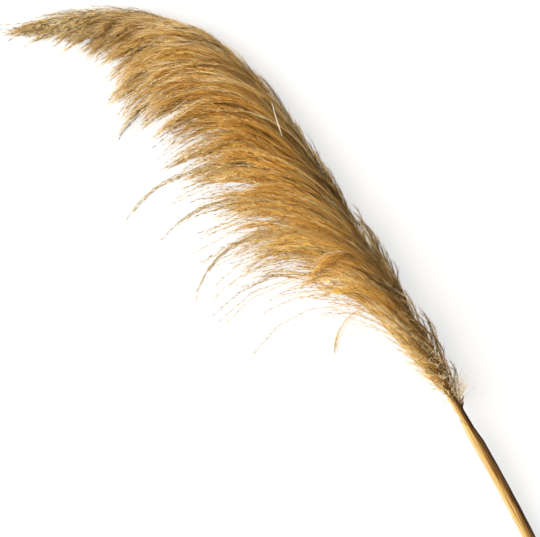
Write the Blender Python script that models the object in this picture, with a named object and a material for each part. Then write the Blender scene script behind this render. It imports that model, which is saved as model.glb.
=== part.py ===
"""One dried pampas grass plume, cut with a length of stem and lying on a surface.

Frame: +X runs from the cut end of the stem to the tip of the plume, +Y points to the side that the
sprays droop to, and +Z is up from the surface that the plume lies on. The origin is the middle of
the underside of its box. The plume is built the way it grew. A culm carries on as the rachis, a leaf
sheath is rolled round its lower part, and whorls of long branches leave the rachis close to its own
direction and droop over to one side. Each whorl is a ring round the rachis with its branches.

The branches follow a flow round the rachis. In the plane square to the rachis they fan out like the
streamlines of a source in an even stream, which turn from every side towards the drooping side and
never cross. Along the rachis they start almost parallel to it and turn towards one drooping heading.
"""

import math

import bmesh
import bpy
import numpy as np
from mathutils import Vector

MM = 0.001

# Place of the plume's base, where the branches begin, on the surface.
BASE_X = -159.4 * MM
BASE_Y = -5.5 * MM

# Line of the stem and rachis. Distances are measured along it from the plume's base, and the stem
# runs from there to its cut end.
STEM_LENGTH = 215 * MM
RACHIS_LENGTH = 505 * MM
STEM_HEADING = math.radians(-18.0)
BODY_HEADING = math.radians(-13.3)
TIP_HEADING = math.radians(50.0)
NOD_START = 262 * MM
NOD_END = 560 * MM
AXIS_STEP = 1 * MM
AXIS_OVERRUN = 320 * MM

# Height of the line over the surface: low at the cut end, lifted by the sprays, low at the tip.
CUT_HEIGHT = 5.72 * MM
LIFT = 18 * MM
LIFT_AT = 150 * MM
TIP_SINK = 16 * MM
TIP_SINK_END = 590 * MM

# Culm and rachis, one tapered round stalk.
CULM_RADIUS = 3.7 * MM
RACHIS_TIP_RADIUS = 0.9 * MM
CULM_SIDES = 10
CULM_STEM_RINGS = 8
SCAR_HEIGHT = 0.5 * MM
BRACT_LENGTH = 9 * MM
BRACT_RADIUS = 1.5 * MM
BRACT_LEAN = math.radians(48)

# Leaf sheath: a sheet rolled round the culm with its edges lapped, and a slanting mouth.
SHEATH_GAP = 0.45 * MM
SHEATH_WALL = 0.7 * MM
SHEATH_LAP = math.radians(75)
SHEATH_LAP_SIDE = math.radians(38)
SHEATH_LOOSE = 0.25 * MM
SHEATH_SECTION_POINTS = 21
SHEATH_RINGS = 9
SHEATH_MOUTH_HIGH = -22 * MM
SHEATH_MOUTH_LOW = -44 * MM
SHEATH_HUG = 16 * MM
MOUTH_SIDE = math.radians(170)

# Whorl rings round the rachis.
WHORLS = 18
RING_CLEARANCE = 0.35 * MM
RING_WALL = 0.95 * MM
RING_FLARE = 0.9 * MM
RING_SPACE = 0.6 * MM
RING_SIDES = 10
RING_PITCH = (RACHIS_LENGTH - 4 * MM) / WHORLS
ROOT_DEPTH = 0.65 * MM
ROOT_SPACING = 2.2 * MM
ROOT_FROM_LOW = 2.5 * MM
ROOT_FROM_HIGH = 7 * MM

# Branches.
BRANCHES = 400
GOLDEN_SHARE = (math.sqrt(5) - 1) / 2
FAN_SHARE = 0.975
CROWN_SQUASH = 0.74
CORE_START = 6 * MM
CORE_END = 15 * MM
FLOOR_GAP = 1.0 * MM
SKIRT_LEAST = 11 * MM
SKIRT_SHARE = 0.8
BACK_SHORTER = 0.55
BRANCH_LEAN = math.radians(9)
BACK_LEAN = math.radians(26)
BACK_LAST_LEAN = math.radians(42)
TIP_LEAN_SHARE = 0.45
TIP_LEAN_START = 400 * MM
# Each table holds distances along the rachis in millimetres, and the values there. The nose is how
# far the plume stands out on its back. The lengths are in millimetres, and a branch ends in its
# drooping heading, in degrees. The power says how late it turns to that.
NOSE_AT = (0, 50, 110, 150, 190, 300, 400, 480, 560)
NOSE = (18, 21, 26, 23, 18, 14, 14, 11, 6)
BRANCH_AT = (0, 25, 50, 75, 110, 160, 210, 260, 310, 350, 390, 420, 450, 475, 505)
BRANCH_LENGTH = (158, 180, 200, 212, 212, 198, 184, 174, 160, 140, 109, 91, 86, 90, 106)
BRANCH_DROOP = (46, 56, 68, 78, 84, 88, 90, 90, 88, 88, 88, 84, 72, 58, 44)
BRANCH_POWER = (3.2, 3.0, 2.8, 2.5, 2.2, 2.1, 2.1, 2.1, 2.0, 2.0, 1.9, 1.9, 1.8, 1.7, 1.6)
# The one long branch that strays from the others: where it leaves the rachis, its direction round it,
# its shares of the usual length, lean and power, and what its heading has beyond the usual one.
STRAY_START = 147.3 * MM
STRAY_FAN = 1.18
STRAY_SHARES = (1.34, 1.26, 0.86)
STRAY_DROOP = math.radians(17.6)
STRAY_LOOSE = 0.1
BRANCH_SEGMENTS = 5
FLOW_STEPS = 9
BRANCH_SIDES = 3
BRANCH_RADII = (0.6 * MM, 0.8 * MM, 1.3 * MM, 1.5 * MM, 1.25 * MM, 0.4 * MM)
BRANCH_CLEARANCE = 0.3 * MM
TRIES = 70
SEED = 17


def smooth(t):
    """0 below 0, 1 above 1, and an even curve between."""
    t = np.clip(t, 0, 1)
    return t * t * (3 - 2 * t)


def heading(s):
    """Direction of the line in the plane of the surface, from +X towards +Y."""
    body = BODY_HEADING + (TIP_HEADING - BODY_HEADING) * smooth((s - NOD_START) / (NOD_END - NOD_START))
    return body + (STEM_HEADING - BODY_HEADING) * smooth(0.2 - s / STEM_LENGTH)


AXIS_S = np.arange(-STEM_LENGTH, RACHIS_LENGTH + AXIS_OVERRUN, AXIS_STEP)


def axis_table():
    """The line's X and Y at each of AXIS_S, from stepping along its heading."""
    turn = heading(AXIS_S + AXIS_STEP / 2)
    x = np.concatenate([[0], np.cumsum(np.cos(turn))])[:-1] * AXIS_STEP
    y = np.concatenate([[0], np.cumsum(np.sin(turn))])[:-1] * AXIS_STEP
    base = np.argmin(np.abs(AXIS_S))
    return x - x[base] + BASE_X, y - y[base] + BASE_Y


AXIS_X, AXIS_Y = axis_table()


def axis_height(s):
    """Height of the line over the surface."""
    rise = np.clip((s + STEM_LENGTH) / (STEM_LENGTH + LIFT_AT), 0, 1)
    sink = TIP_SINK * smooth((s - LIFT_AT) / (TIP_SINK_END - LIFT_AT))
    return CUT_HEIGHT + LIFT * (1 - (1 - rise) ** 2) - sink


def axis_point(s):
    """Points of the line at the distances s."""
    return np.stack([np.interp(s, AXIS_S, AXIS_X), np.interp(s, AXIS_S, AXIS_Y), axis_height(s)], -1)


def axis_frame(s):
    """Direction of the line, its left and its upper side, at one distance s."""
    along = axis_point(s + AXIS_STEP) - axis_point(s - AXIS_STEP)
    along /= np.linalg.norm(along)
    left = np.array([-math.sin(heading(s)), math.cos(heading(s)), 0.0])
    return along, left, np.cross(along, left)


def culm_radius(s):
    """Radius of the culm, and of the rachis that it carries on as."""
    return CULM_RADIUS + (RACHIS_TIP_RADIUS - CULM_RADIUS) * smooth(s / RACHIS_LENGTH)


def bore(s):
    """Radius of a whorl ring's bore: clear of the rachis at the middle of each of its flats."""
    return (culm_radius(s) + RING_CLEARANCE) / math.cos(math.pi / RING_SIDES)


def nose(s):
    """How far the plume stands out on its back, behind the rachis."""
    return np.interp(s / MM, NOSE_AT, NOSE) * MM


def skirt_table():
    """Depth of the plume's outline below the rachis, at each place across it, for a nose of 1."""
    turn = np.linspace(math.pi * 0.999, 0.04, 120)
    reach = (math.pi - turn) / np.sin(turn)
    return reach * np.cos(turn), reach * np.sin(turn)


SKIRT_ACROSS, SKIRT_DOWN = skirt_table()


def place(s, across, up):
    """World points of places given along the rachis, across it to the drooping side, and up.

    Above the rachis the fan is squashed a little by its weight. Below it is pressed between the
    rachis and the surface, so that the lowest branches lie on the surface. Close to the rachis,
    places are left as they are.
    """
    back = nose(s)
    depth = np.interp(across / back, SKIRT_ACROSS, SKIRT_DOWN) * back * SKIRT_SHARE
    depth = np.maximum(depth, SKIRT_LEAST)
    pressed = (axis_height(s) - FLOOR_GAP) * np.maximum(1 + up / depth, 0) + FLOOR_GAP
    height = np.where(up > 0, axis_height(s) + CROWN_SQUASH * up, pressed)
    core = smooth((CORE_END - np.hypot(across, up)) / (CORE_END - CORE_START))
    height = height + (axis_height(s) + up - height) * core
    turn = heading(s)
    x = np.interp(s, AXIS_S, AXIS_X) - across * np.sin(turn)
    y = np.interp(s, AXIS_S, AXIS_Y) + across * np.cos(turn)
    return np.stack([x, y, height], -1)


def flow(start, fan, length_share, lean_share, power_share, more_droop):
    """Centre lines of branches: world points at each segment's end, for arrays of branches.

    start is where each leaves the rachis and fan the direction round it. The tables give its length,
    its first angle to the rachis and how that grows to the drooping heading, and the shares vary them.
    """
    s, at, back = start.copy(), start / MM, backward(fan)
    length = np.interp(at, BRANCH_AT, BRANCH_LENGTH) * MM * (1 - BACK_SHORTER * back) * length_share
    tip = smooth((start - TIP_LEAN_START) / (RACHIS_LENGTH - TIP_LEAN_START))
    lean = (BRANCH_LEAN + (BACK_LEAN - BRANCH_LEAN) * back) * (1 + (TIP_LEAN_SHARE - 1) * tip) * lean_share
    power = np.interp(at, BRANCH_AT, BRANCH_POWER) * power_share
    last_lean = np.radians(np.interp(at, BRANCH_AT, BRANCH_DROOP)) + more_droop
    last_lean = last_lean - heading(start + 0.55 * length)
    last_lean = last_lean + (BACK_LAST_LEAN - last_lean) * back
    root = bore(start) + ROOT_DEPTH
    across, up = root * np.cos(fan), root * np.sin(fan)
    step = length / (BRANCH_SEGMENTS * FLOW_STEPS)
    points = [place(s, across, up)]
    for count in range(BRANCH_SEGMENTS * FLOW_STEPS):
        share = (count + 0.5) / (BRANCH_SEGMENTS * FLOW_STEPS)
        angle = lean + (last_lean - lean) * share**power
        apart = across**2 + up**2
        flow_across = 1 + nose(s) * across / apart
        flow_up = nose(s) * up / apart
        speed = np.hypot(flow_across, flow_up)
        bend = (heading(s + AXIS_STEP) - heading(s - AXIS_STEP)) / (2 * AXIS_STEP)
        s = s + np.cos(angle) * step / (1 - bend * across)
        across = across + np.sin(angle) * flow_across / speed * step
        up = up + np.sin(angle) * flow_up / speed * step
        if (count + 1) % FLOW_STEPS == 0:
            points.append(place(s, across, up))
    return np.stack(points, 1)


def backward(fan):
    """0 for a branch that leaves towards the drooping side, and 1 for one on the plume's back."""
    return smooth((np.abs(fan) - 1.7) / 1.2)


def ring_span(whorl):
    """Where a whorl's ring starts and ends along the rachis."""
    return whorl * RING_PITCH + RING_SPACE / 2, (whorl + 1) * RING_PITCH - RING_SPACE / 2


def ring_radii(whorl):
    """Outer radii of a whorl's ring at its start and its end."""
    low, high = ring_span(whorl)
    return bore(low) + RING_WALL, bore(high) + RING_WALL + RING_FLARE


def too_close(line, radii, others, other_radii):
    """Whether a chain of tapered pieces comes too near to any of the others.

    others holds the two ends of each other piece, and other_radii its two radii. The nearest points
    of two straight pieces come from the usual closed form, held to the pieces' ends.
    """
    start, way = line[:-1, None], (line[1:] - line[:-1])[:, None]
    other_start, other_way = others[None, :, 0], (others[:, 1] - others[:, 0])[None]
    apart = start - other_start
    own, other = (way**2).sum(2), (other_way**2).sum(2)
    both = (way * other_way).sum(2)
    own_apart, other_apart = (way * apart).sum(2), (other_way * apart).sum(2)
    skew = np.maximum(own * other - both**2, 1e-16)
    share = np.clip((both * other_apart - own_apart * other) / skew, 0, 1)
    other_share = np.clip((both * share + other_apart) / other, 0, 1)
    share = np.clip((both * other_share - own_apart) / own, 0, 1)
    gap = np.linalg.norm(apart + way * share[..., None] - other_way * other_share[..., None], axis=2)
    size = radii[:-1, None] + (radii[1:] - radii[:-1])[:, None] * share
    other_size = other_radii[None, :, 0] + (other_radii[:, 1] - other_radii[:, 0])[None] * other_share
    return bool((gap < size + other_size + BRANCH_CLEARANCE).any())


def draw_branches():
    """Chooses the branches, spread by the golden angle and clear of every other whorl.

    Each is drawn again, with other small changes, until it keeps clear of the rings of other whorls
    and of all branches but for the root pieces beside it. Returns a list of (whorl, centre line).
    """
    random = np.random.default_rng(SEED)
    order = np.arange(BRANCHES)
    whorl = order * WHORLS // BRANCHES
    share = (order * WHORLS / BRANCHES) % 1
    start = whorl * RING_PITCH + ROOT_FROM_LOW + (RING_PITCH - ROOT_FROM_LOW - ROOT_FROM_HIGH) * share
    fan = ((order * GOLDEN_SHARE) % 1 * 2 - 1) * math.pi * FAN_SHARE
    # The stray branch comes first, before the others take its place.
    whorl = np.append(int(STRAY_START / RING_PITCH), whorl)
    start, fan = np.append(STRAY_START, start), np.append(STRAY_FAN, fan)
    stray = np.arange(len(start)) == 0
    more_droop = np.where(stray, STRAY_DROOP, 0.0)
    tries = []
    for attempt in range(TRIES):
        loose = (0.35 + 0.65 * attempt / TRIES) * np.where(stray, STRAY_LOOSE, 1.0)
        turned = np.clip(fan + loose * random.normal(0, 0.14, len(fan)), -3.08, 3.08)
        length = np.where(stray, STRAY_SHARES[0], random.uniform(0.78, 1.03, len(fan)))
        lean = np.where(stray, STRAY_SHARES[1], random.uniform(0.9, 1.0 + 0.5 * loose, len(fan)))
        power = np.where(stray, STRAY_SHARES[2], random.uniform(0.85, 1.2, len(fan)))
        tries.append(flow(start, turned, length, lean, power, more_droop))
    radii = np.array(BRANCH_RADII)
    steps = np.stack([radii[:-1], radii[1:]], 1)
    taken = np.stack([[axis_point(s) for s in ring_span(ring)] for ring in range(WHORLS)])
    sizes = np.array([ring_radii(ring) for ring in range(WHORLS)])
    owners, order_in_branch, chosen = np.arange(WHORLS), np.zeros(WHORLS), []
    for index in range(len(start)):
        apart = owners != whorl[index]
        beside = ~apart & (order_in_branch > 0)
        for attempt in range(TRIES):
            line = tries[attempt][index]
            if (np.linalg.norm(taken[:, 0] - line[0], axis=1) < ROOT_SPACING).any():
                continue
            if too_close(line, radii, taken[apart], sizes[apart]):
                continue
            if beside.any() and too_close(line[1:], radii[1:], taken[beside], sizes[beside]):
                continue
            taken = np.concatenate([taken, np.stack([line[:-1], line[1:]], 1)])
            sizes = np.concatenate([sizes, steps])
            owners = np.append(owners, [whorl[index]] * BRANCH_SEGMENTS)
            order_in_branch = np.append(order_in_branch, range(BRANCH_SEGMENTS))
            chosen.append((whorl[index], line))
            break
    print(len(chosen), "branches kept of", len(start))
    return chosen


def mesh_object(name, bm, smooth_faces=False):
    """An object from a bmesh, with its faces turned outwards."""
    bmesh.ops.recalc_face_normals(bm, faces=bm.faces[:])
    if bm.calc_volume(signed=True) < 0:
        bmesh.ops.reverse_faces(bm, faces=bm.faces[:])
    mesh = bpy.data.meshes.new(name)
    bm.to_mesh(mesh)
    bm.free()
    if smooth_faces:
        mesh.shade_smooth()
        mesh.set_sharp_from_angle(angle=math.radians(40))
    made = bpy.data.objects.new(name, mesh)
    bpy.context.scene.collection.objects.link(made)
    return made


def extruded(bm, rings):
    """Extrudes a face through rings of the same number of points. Returns its last face."""
    first = [bm.verts.new(point) for point in rings[0]]
    face = bm.faces.new(first)
    for ring in rings[1:]:
        face = bmesh.ops.extrude_discrete_faces(bm, faces=[face])["faces"][0]
        for vert, point in zip(face.verts, ring):
            vert.co = point
    bm.faces.new(first[::-1])
    return face


def circle(s, radius, sides, turn=0.0):
    """A ring of points square to the rachis at the distance s."""
    _, left, above = axis_frame(s)
    angles = turn + np.arange(sides) * 2 * math.pi / sides
    return [axis_point(s) + radius * (math.cos(a) * left + math.sin(a) * above) for a in angles]


def make_culm():
    """The stem and the rachis, one tapered stalk, with a raised scar where the plume begins."""
    places = list(np.linspace(-STEM_LENGTH, -12 * MM, CULM_STEM_RINGS))
    places += [whorl * RING_PITCH for whorl in range(WHORLS + 1)] + [RACHIS_LENGTH]
    scar = [(-9 * MM, 0.0), (-5 * MM, SCAR_HEIGHT), (-1.5 * MM, 0.0)]
    sizes = [(s, float(culm_radius(s))) for s in places]
    sizes += [(s, float(culm_radius(s)) + more) for s, more in scar]
    bm = bmesh.new()
    extruded(bm, [circle(s, radius, CULM_SIDES) for s, radius in sorted(sizes)])
    culm = mesh_object("culm", bm, smooth_faces=True)
    add_bract(culm)
    return culm


def add_bract(culm):
    """The dried stub of a bract on the back of the plume's base, fused to the culm."""
    along, left, above = axis_frame(-4 * MM)
    out = -left * math.sin(BRACT_LEAN) + along * math.cos(BRACT_LEAN)
    side = np.cross(out, above)
    foot = axis_point(-4 * MM) - left * CULM_RADIUS * 0.5
    bm = bmesh.new()
    rings = []
    for reach, size in ((0.0, 1.0), (0.45, 1.0), (0.8, 0.6), (1.0, 0.25)):
        middle = foot + out * BRACT_LENGTH * reach
        spots = [(math.cos(a), math.sin(a)) for a in np.arange(5) * 2 * math.pi / 5]
        rings.append([middle + BRACT_RADIUS * size * (c * side * 0.55 + d * above) for c, d in spots])
    extruded(bm, rings)
    fuse(culm, [mesh_object("bract", bm)])


def fuse(target, others):
    """Joins the other objects to the target by one Boolean union, and removes them."""
    group = bpy.data.collections.new(target.name + "_pieces")
    bpy.context.scene.collection.children.link(group)
    for other in others:
        bpy.context.scene.collection.objects.unlink(other)
        group.objects.link(other)
    union = target.modifiers.new("union", "BOOLEAN")
    union.operation = "UNION"
    union.operand_type = "COLLECTION"
    union.collection = group
    union.solver = "MANIFOLD"
    graph = bpy.context.evaluated_depsgraph_get()
    joined = bpy.data.meshes.new_from_object(target.evaluated_get(graph))
    target.modifiers.clear()
    target.data = joined
    for other in others:
        bpy.data.objects.remove(other)
    bpy.data.collections.remove(group)


def sheath_section(s, snug):
    """The rolled outline of the sheath at one place, as angles and radii round the culm.

    The sheet starts against the culm, goes all the way round, and laps over its own start. snug is 1
    where it hugs the culm and 0 where it is looser.
    """
    inner = culm_radius(s) + SHEATH_GAP + SHEATH_LOOSE * (1 - snug)
    whole = 2 * math.pi + SHEATH_LAP
    angles = np.linspace(0, whole, SHEATH_SECTION_POINTS)
    lift = (SHEATH_WALL + SHEATH_GAP) * smooth((angles - SHEATH_LAP) / (2 * math.pi - SHEATH_LAP))
    wall = SHEATH_WALL * np.where((angles == 0) | (angles == whole), 0.7, 1.0)
    sizes = np.concatenate([inner + lift, (inner + lift + wall)[::-1]])
    return np.concatenate([angles, angles[::-1]]) + SHEATH_LAP_SIDE, sizes


def make_sheath():
    """The leaf sheath: closed round the culm at the cut end and open at a slanting mouth."""
    bm = bmesh.new()
    rings = []
    for share in np.linspace(0, 1, SHEATH_RINGS):
        middle = -STEM_LENGTH + (SHEATH_MOUTH_LOW + STEM_LENGTH) * share
        snug = float(smooth((middle - SHEATH_MOUTH_LOW) / SHEATH_HUG + 1))
        ring = []
        for turn, size in zip(*sheath_section(middle, snug)):
            slant = (SHEATH_MOUTH_HIGH - SHEATH_MOUTH_LOW) * 0.5 * (1 - math.cos(turn - MOUTH_SIDE))
            s = middle + slant * share**3
            _, left, above = axis_frame(s)
            point = axis_point(s) + size * (math.cos(turn) * left + math.sin(turn) * above)
            point[2] = max(point[2], 0.0)
            ring.append(point)
        rings.append(ring)
    extruded(bm, rings)
    return mesh_object("leaf_sheath", bm, smooth_faces=True)


def make_ring(name, whorl):
    """The ring that a whorl's branches grow from: a short flared collar round the rachis."""
    low, high = ring_span(whorl)
    outer_low, outer_high = ring_radii(whorl)
    sections = [(low, bore(low)), (low, outer_low), (high, outer_high), (high, bore(high))]
    bm = bmesh.new()
    loops = [[bm.verts.new(point) for point in circle(s, radius, RING_SIDES)] for s, radius in sections]
    for loop, following in zip(loops, loops[1:] + loops[:1]):
        for i in range(RING_SIDES):
            bm.faces.new((loop[i - 1], loop[i], following[i], following[i - 1]))
    return mesh_object(name, bm)


def branch_rings(line, turn):
    """Three-cornered rings round a branch's centre line, each turned half a side from the last."""
    rings = []
    for index, radius in enumerate(BRANCH_RADII[:-1]):
        ahead = line[index + 1] - line[max(index - 1, 0)]
        ahead /= np.linalg.norm(ahead)
        side = np.cross(ahead, (0.0, 0.0, 1.0))
        side /= np.linalg.norm(side)
        over = np.cross(side, ahead)
        ring = []
        for corner in range(BRANCH_SIDES):
            angle = turn + (corner + index / 2) * 2 * math.pi / BRANCH_SIDES
            point = line[index] + radius * (math.cos(angle) * side + math.sin(angle) * over)
            point[2] = max(point[2], 0.0)
            ring.append(point)
        rings.append(ring)
    return rings


def make_branch(line, turn):
    """One branch: a face at its root, extruded along its line and closed in a point."""
    bm = bmesh.new()
    last = extruded(bm, branch_rings(line, turn))
    tip = Vector(line[-1])
    tip.z = max(tip.z, 0.0)
    bmesh.ops.poke(bm, faces=[last])
    bm.verts.ensure_lookup_table()
    bm.verts[-1].co = tip
    bmesh.ops.triangulate(bm, faces=bm.faces[:], quad_method="SHORT_EDGE")
    return mesh_object("branch", bm)


def make_whorl(whorl, lines, random):
    """A ring and its branches, fused in one node."""
    name = f"spray_whorl_{whorl + 1:02d}"
    ring = make_ring(name, whorl)
    fuse(ring, [make_branch(line, random.uniform(0, 2)) for line in lines])
    return ring


def material(name, colour, roughness):
    """A plain material in linear colour."""
    made = bpy.data.materials.new(name)
    made.use_nodes = True
    shader = made.node_tree.nodes["Principled BSDF"]
    shader.inputs["Base Color"].default_value = (*colour, 1.0)
    shader.inputs["Roughness"].default_value = roughness
    return made


def main():
    for thing in list(bpy.data.objects):
        bpy.data.objects.remove(thing)
    straw = material("dry_straw", (0.55, 0.33, 0.11), 0.5)
    sheath_straw = material("dry_leaf", (0.62, 0.40, 0.15), 0.45)
    floss = material("silky_floss", (0.58, 0.36, 0.13), 0.7)
    make_culm().data.materials.append(straw)
    make_sheath().data.materials.append(sheath_straw)
    random = np.random.default_rng(SEED + 1)
    branches = draw_branches()
    for whorl in range(WHORLS):
        lines = [line for owner, line in branches if owner == whorl]
        make_whorl(whorl, lines, random).data.materials.append(floss)


main()
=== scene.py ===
# %% [markdown]
# # A dried pampas grass plume
#
# The plume of pampas grass is a flower head of thousands of small husks. The stem carries on through
# it as a thin rachis. Long branches leave the rachis almost along it, droop over to one side in the
# wind and under their own weight, and carry the husks on hair-thin stalks. Each husk is wrapped in
# silky hairs, and together they read as combed floss.
#
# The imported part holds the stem, the leaf sheath and a coarse model of every whorl of branches. This
# script keeps their places and sizes, and puts a finer piece in the place of each.

import math

import bpy
import mathutils
import numpy as np
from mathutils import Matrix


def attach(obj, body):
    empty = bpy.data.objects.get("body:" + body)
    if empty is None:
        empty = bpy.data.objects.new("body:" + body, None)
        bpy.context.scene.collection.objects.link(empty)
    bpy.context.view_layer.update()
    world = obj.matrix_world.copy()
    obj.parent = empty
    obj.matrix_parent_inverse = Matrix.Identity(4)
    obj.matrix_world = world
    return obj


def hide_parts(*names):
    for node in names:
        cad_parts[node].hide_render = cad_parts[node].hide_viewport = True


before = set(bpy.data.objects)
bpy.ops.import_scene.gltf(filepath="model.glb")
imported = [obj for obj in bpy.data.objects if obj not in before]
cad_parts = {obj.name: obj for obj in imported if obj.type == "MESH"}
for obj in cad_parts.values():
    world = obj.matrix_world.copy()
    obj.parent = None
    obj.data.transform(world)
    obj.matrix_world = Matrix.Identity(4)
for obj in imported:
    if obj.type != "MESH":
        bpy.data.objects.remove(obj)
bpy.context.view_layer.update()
MM = 0.001

# %% [markdown]
# ## Colours and nodes
#
# Colours are written as the hex values that a painter would pick, and one function turns them into
# the linear numbers that a shader needs. Another adds a node with its settings, links and colour stops.


# %% Colours and nodes
def linear(hex_colour, alpha=1.0):
    """An sRGB hex colour as linear red, green, blue and alpha, by the sRGB standard's formula."""
    parts = [int(hex_colour[i : i + 2], 16) / 255 for i in (1, 3, 5)]
    return [p / 12.92 if p <= 0.04045 else ((p + 0.055) / 1.055) ** 2.4 for p in parts] + [alpha]


def add_node(tree, kind, inputs=(), stops=(), **settings):
    """Adds a node. inputs maps a socket's name or number to a value or to an output that feeds it.

    stops are the stops of a Color Ramp, each a place and a hex colour.
    """
    node = tree.nodes.new(kind)
    for name, value in settings.items():
        setattr(node, name, value)
    for name, value in dict(inputs).items():
        if isinstance(value, bpy.types.NodeSocket):
            tree.links.new(value, node.inputs[name])
        else:
            node.inputs[name].default_value = value
    for index, (spot, colour) in enumerate(stops):
        elements = node.color_ramp.elements
        if index == 0:
            elements.remove(elements[1])
        stop = elements.new(spot) if index else elements[0]
        stop.position, stop.color = spot, linear(colour)
    return node


def new_material(name):
    """A new material and its empty node tree."""
    made = bpy.data.materials.new(name)
    made.use_nodes = True
    made.node_tree.nodes.clear()
    return made, made.node_tree


print("#808080 is", linear("#808080"), "in linear numbers")

# %% [markdown]
# ## Camera
#
# The plume lies on the floor, and the camera looks straight down on it, turned so that the stem runs
# to the lower right. A long lens from well above keeps its outline as flat as the photograph's.

# %% Camera
PIXEL = 0.9 * MM  # what one pixel of the frame covers on the plume
FRAME_WIDTH = 540
SENSOR = 36.0
CAMERA_HEIGHT = 1.9
PLUME_HEIGHT = 25 * MM
PHOTO_CENTRE = (45.2 * MM, 26.6 * MM)
PHOTO_TURN = math.radians(-135)

camera_data = bpy.data.cameras.new("camera")
camera_data.sensor_width = SENSOR
camera_data.lens = SENSOR * (CAMERA_HEIGHT - PLUME_HEIGHT) / (FRAME_WIDTH * PIXEL)
camera = bpy.data.objects.new("camera", camera_data)
camera.location = (*PHOTO_CENTRE, CAMERA_HEIGHT)
camera.rotation_euler = (0, 0, PHOTO_TURN)
bpy.context.scene.collection.objects.link(camera)
bpy.context.scene.camera = camera
print("lens", round(camera_data.lens), "mm")

# %% [markdown]
# ## Line of the stem
#
# The stem and the rachis are one line, and everything else is placed by the distance along it from
# the plume's foot. It is nearly straight as far as the upper half of the plume and nods over towards
# the tip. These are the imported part's own values, so the husks land where its branches are.

# %% Line of the stem
BASE = (-159.4 * MM, -5.5 * MM)
STEM_LENGTH = 215 * MM
RACHIS_LENGTH = 505 * MM
OVERRUN = 320 * MM  # the line goes on past the rachis, as far as the longest branches reach
STEM_HEADING = math.radians(-18.0)
BODY_HEADING = math.radians(-13.3)
TIP_HEADING = math.radians(50.0)
NOD = (262 * MM, 560 * MM)
STEM_TURN_END = 0.2  # the stem's turn ends this share of its length above the foot
STEP = 1 * MM


def smooth(t):
    """0 below 0, 1 above 1, and an even curve between."""
    t = np.clip(t, 0, 1)
    return t * t * (3 - 2 * t)


def heading(s):
    """Direction of the line at the distance s, from +X towards +Y."""
    body = BODY_HEADING + (TIP_HEADING - BODY_HEADING) * smooth((s - NOD[0]) / (NOD[1] - NOD[0]))
    return body + (STEM_HEADING - BODY_HEADING) * smooth(STEM_TURN_END - s / STEM_LENGTH)


line_s = np.arange(-STEM_LENGTH, RACHIS_LENGTH + OVERRUN, STEP)
turns = heading(line_s + STEP / 2)
line_x = np.concatenate([[0], np.cumsum(np.cos(turns))])[:-1] * STEP
line_y = np.concatenate([[0], np.cumsum(np.sin(turns))])[:-1] * STEP
base_index = np.argmin(np.abs(line_s))
line_x += BASE[0] - line_x[base_index]
line_y += BASE[1] - line_y[base_index]
print("the line has", len(line_s), "points and is", round(line_s[-1] - line_s[0], 3), "m long")

# %% [markdown]
# ## Height and thickness of the line
#
# The stem rests on the floor at its cut end, the branches below the rachis hold it up like springs,
# and towards the tip it sinks again. It thins evenly from the stem to the end of the rachis.

# %% Height and thickness of the line
CUT_HEIGHT = 5.72 * MM
LIFT, LIFT_AT = 18 * MM, 150 * MM
TIP_SINK, TIP_SINK_END = 16 * MM, 590 * MM
CULM_RADIUS, RACHIS_TIP_RADIUS = 3.7 * MM, 0.9 * MM
TINY = 1e-12


def line_height(s):
    """Height over the floor: low at the cut end, lifted by the branches, low at the tip."""
    rise = np.clip((s + STEM_LENGTH) / (STEM_LENGTH + LIFT_AT), 0, 1)
    sink = TIP_SINK * smooth((s - LIFT_AT) / (TIP_SINK_END - LIFT_AT))
    return CUT_HEIGHT + LIFT * (1 - (1 - rise) ** 2) - sink


def line_point(s):
    """Points of the line at the distances s."""
    return np.stack([np.interp(s, line_s, line_x), np.interp(s, line_s, line_y), line_height(s)], -1)


def unit(vectors):
    """Vectors at a length of 1."""
    return vectors / np.maximum(np.linalg.norm(vectors, axis=-1, keepdims=True), TINY)


def line_sides(s):
    """Directions to the left of the line and above it, at the distances s."""
    along = unit(line_point(s + STEP) - line_point(s - STEP))
    turn = heading(s)
    left = np.stack([-np.sin(turn), np.cos(turn), np.zeros_like(turn)], -1)
    return left, np.cross(along, left)


def culm_radius(s):
    """Radius of the culm, and of the rachis that it carries on as."""
    return CULM_RADIUS + (RACHIS_TIP_RADIUS - CULM_RADIUS) * smooth(s / RACHIS_LENGTH)


print("the rachis ends at", line_point(np.array([RACHIS_LENGTH])))

# %% [markdown]
# ## Round the rachis
#
# Combed floss never crosses itself. The branches therefore follow a flow, as water goes round a post:
# seen along the rachis they fan out on every side, and all turn towards the drooping side. Places in
# the plume are given by three distances: along the rachis, across it to the drooping side, and up.
#
# The real plume lies on a table, so its underside is pressed flat. One function turns the three
# distances into a place in the world, and squeezes what is below the rachis into the height that is
# left over the floor.

# %% Round the rachis
CROWN_SQUASH = 0.74
CORE = (6 * MM, 15 * MM)
FLOOR_GAP = 1.0 * MM
SKIRT_LEAST, SKIRT_SHARE = 11 * MM, 0.8
SKIRT_TURN = (math.pi * 0.999, 0.04)  # from the plume's back edge to its drooping side
SKIRT_POINTS = 120
# Distances along the rachis, and how far the plume stands out on its back there, in millimetres.
NOSE_AT = (0, 50, 110, 150, 190, 300, 400, 480, 560)
NOSE = (18, 21, 26, 23, 18, 14, 14, 11, 6)

# Depth of the flow's edge below the rachis, by the distance across, both with the nose as 1.
skirt_turn = np.linspace(*SKIRT_TURN, SKIRT_POINTS)
skirt_reach = (math.pi - skirt_turn) / np.sin(skirt_turn)
skirt_across, skirt_down = skirt_reach * np.cos(skirt_turn), skirt_reach * np.sin(skirt_turn)


def nose(s):
    """How far the plume stands out on its back, behind the rachis."""
    return np.interp(s / MM, NOSE_AT, NOSE) * MM


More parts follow.
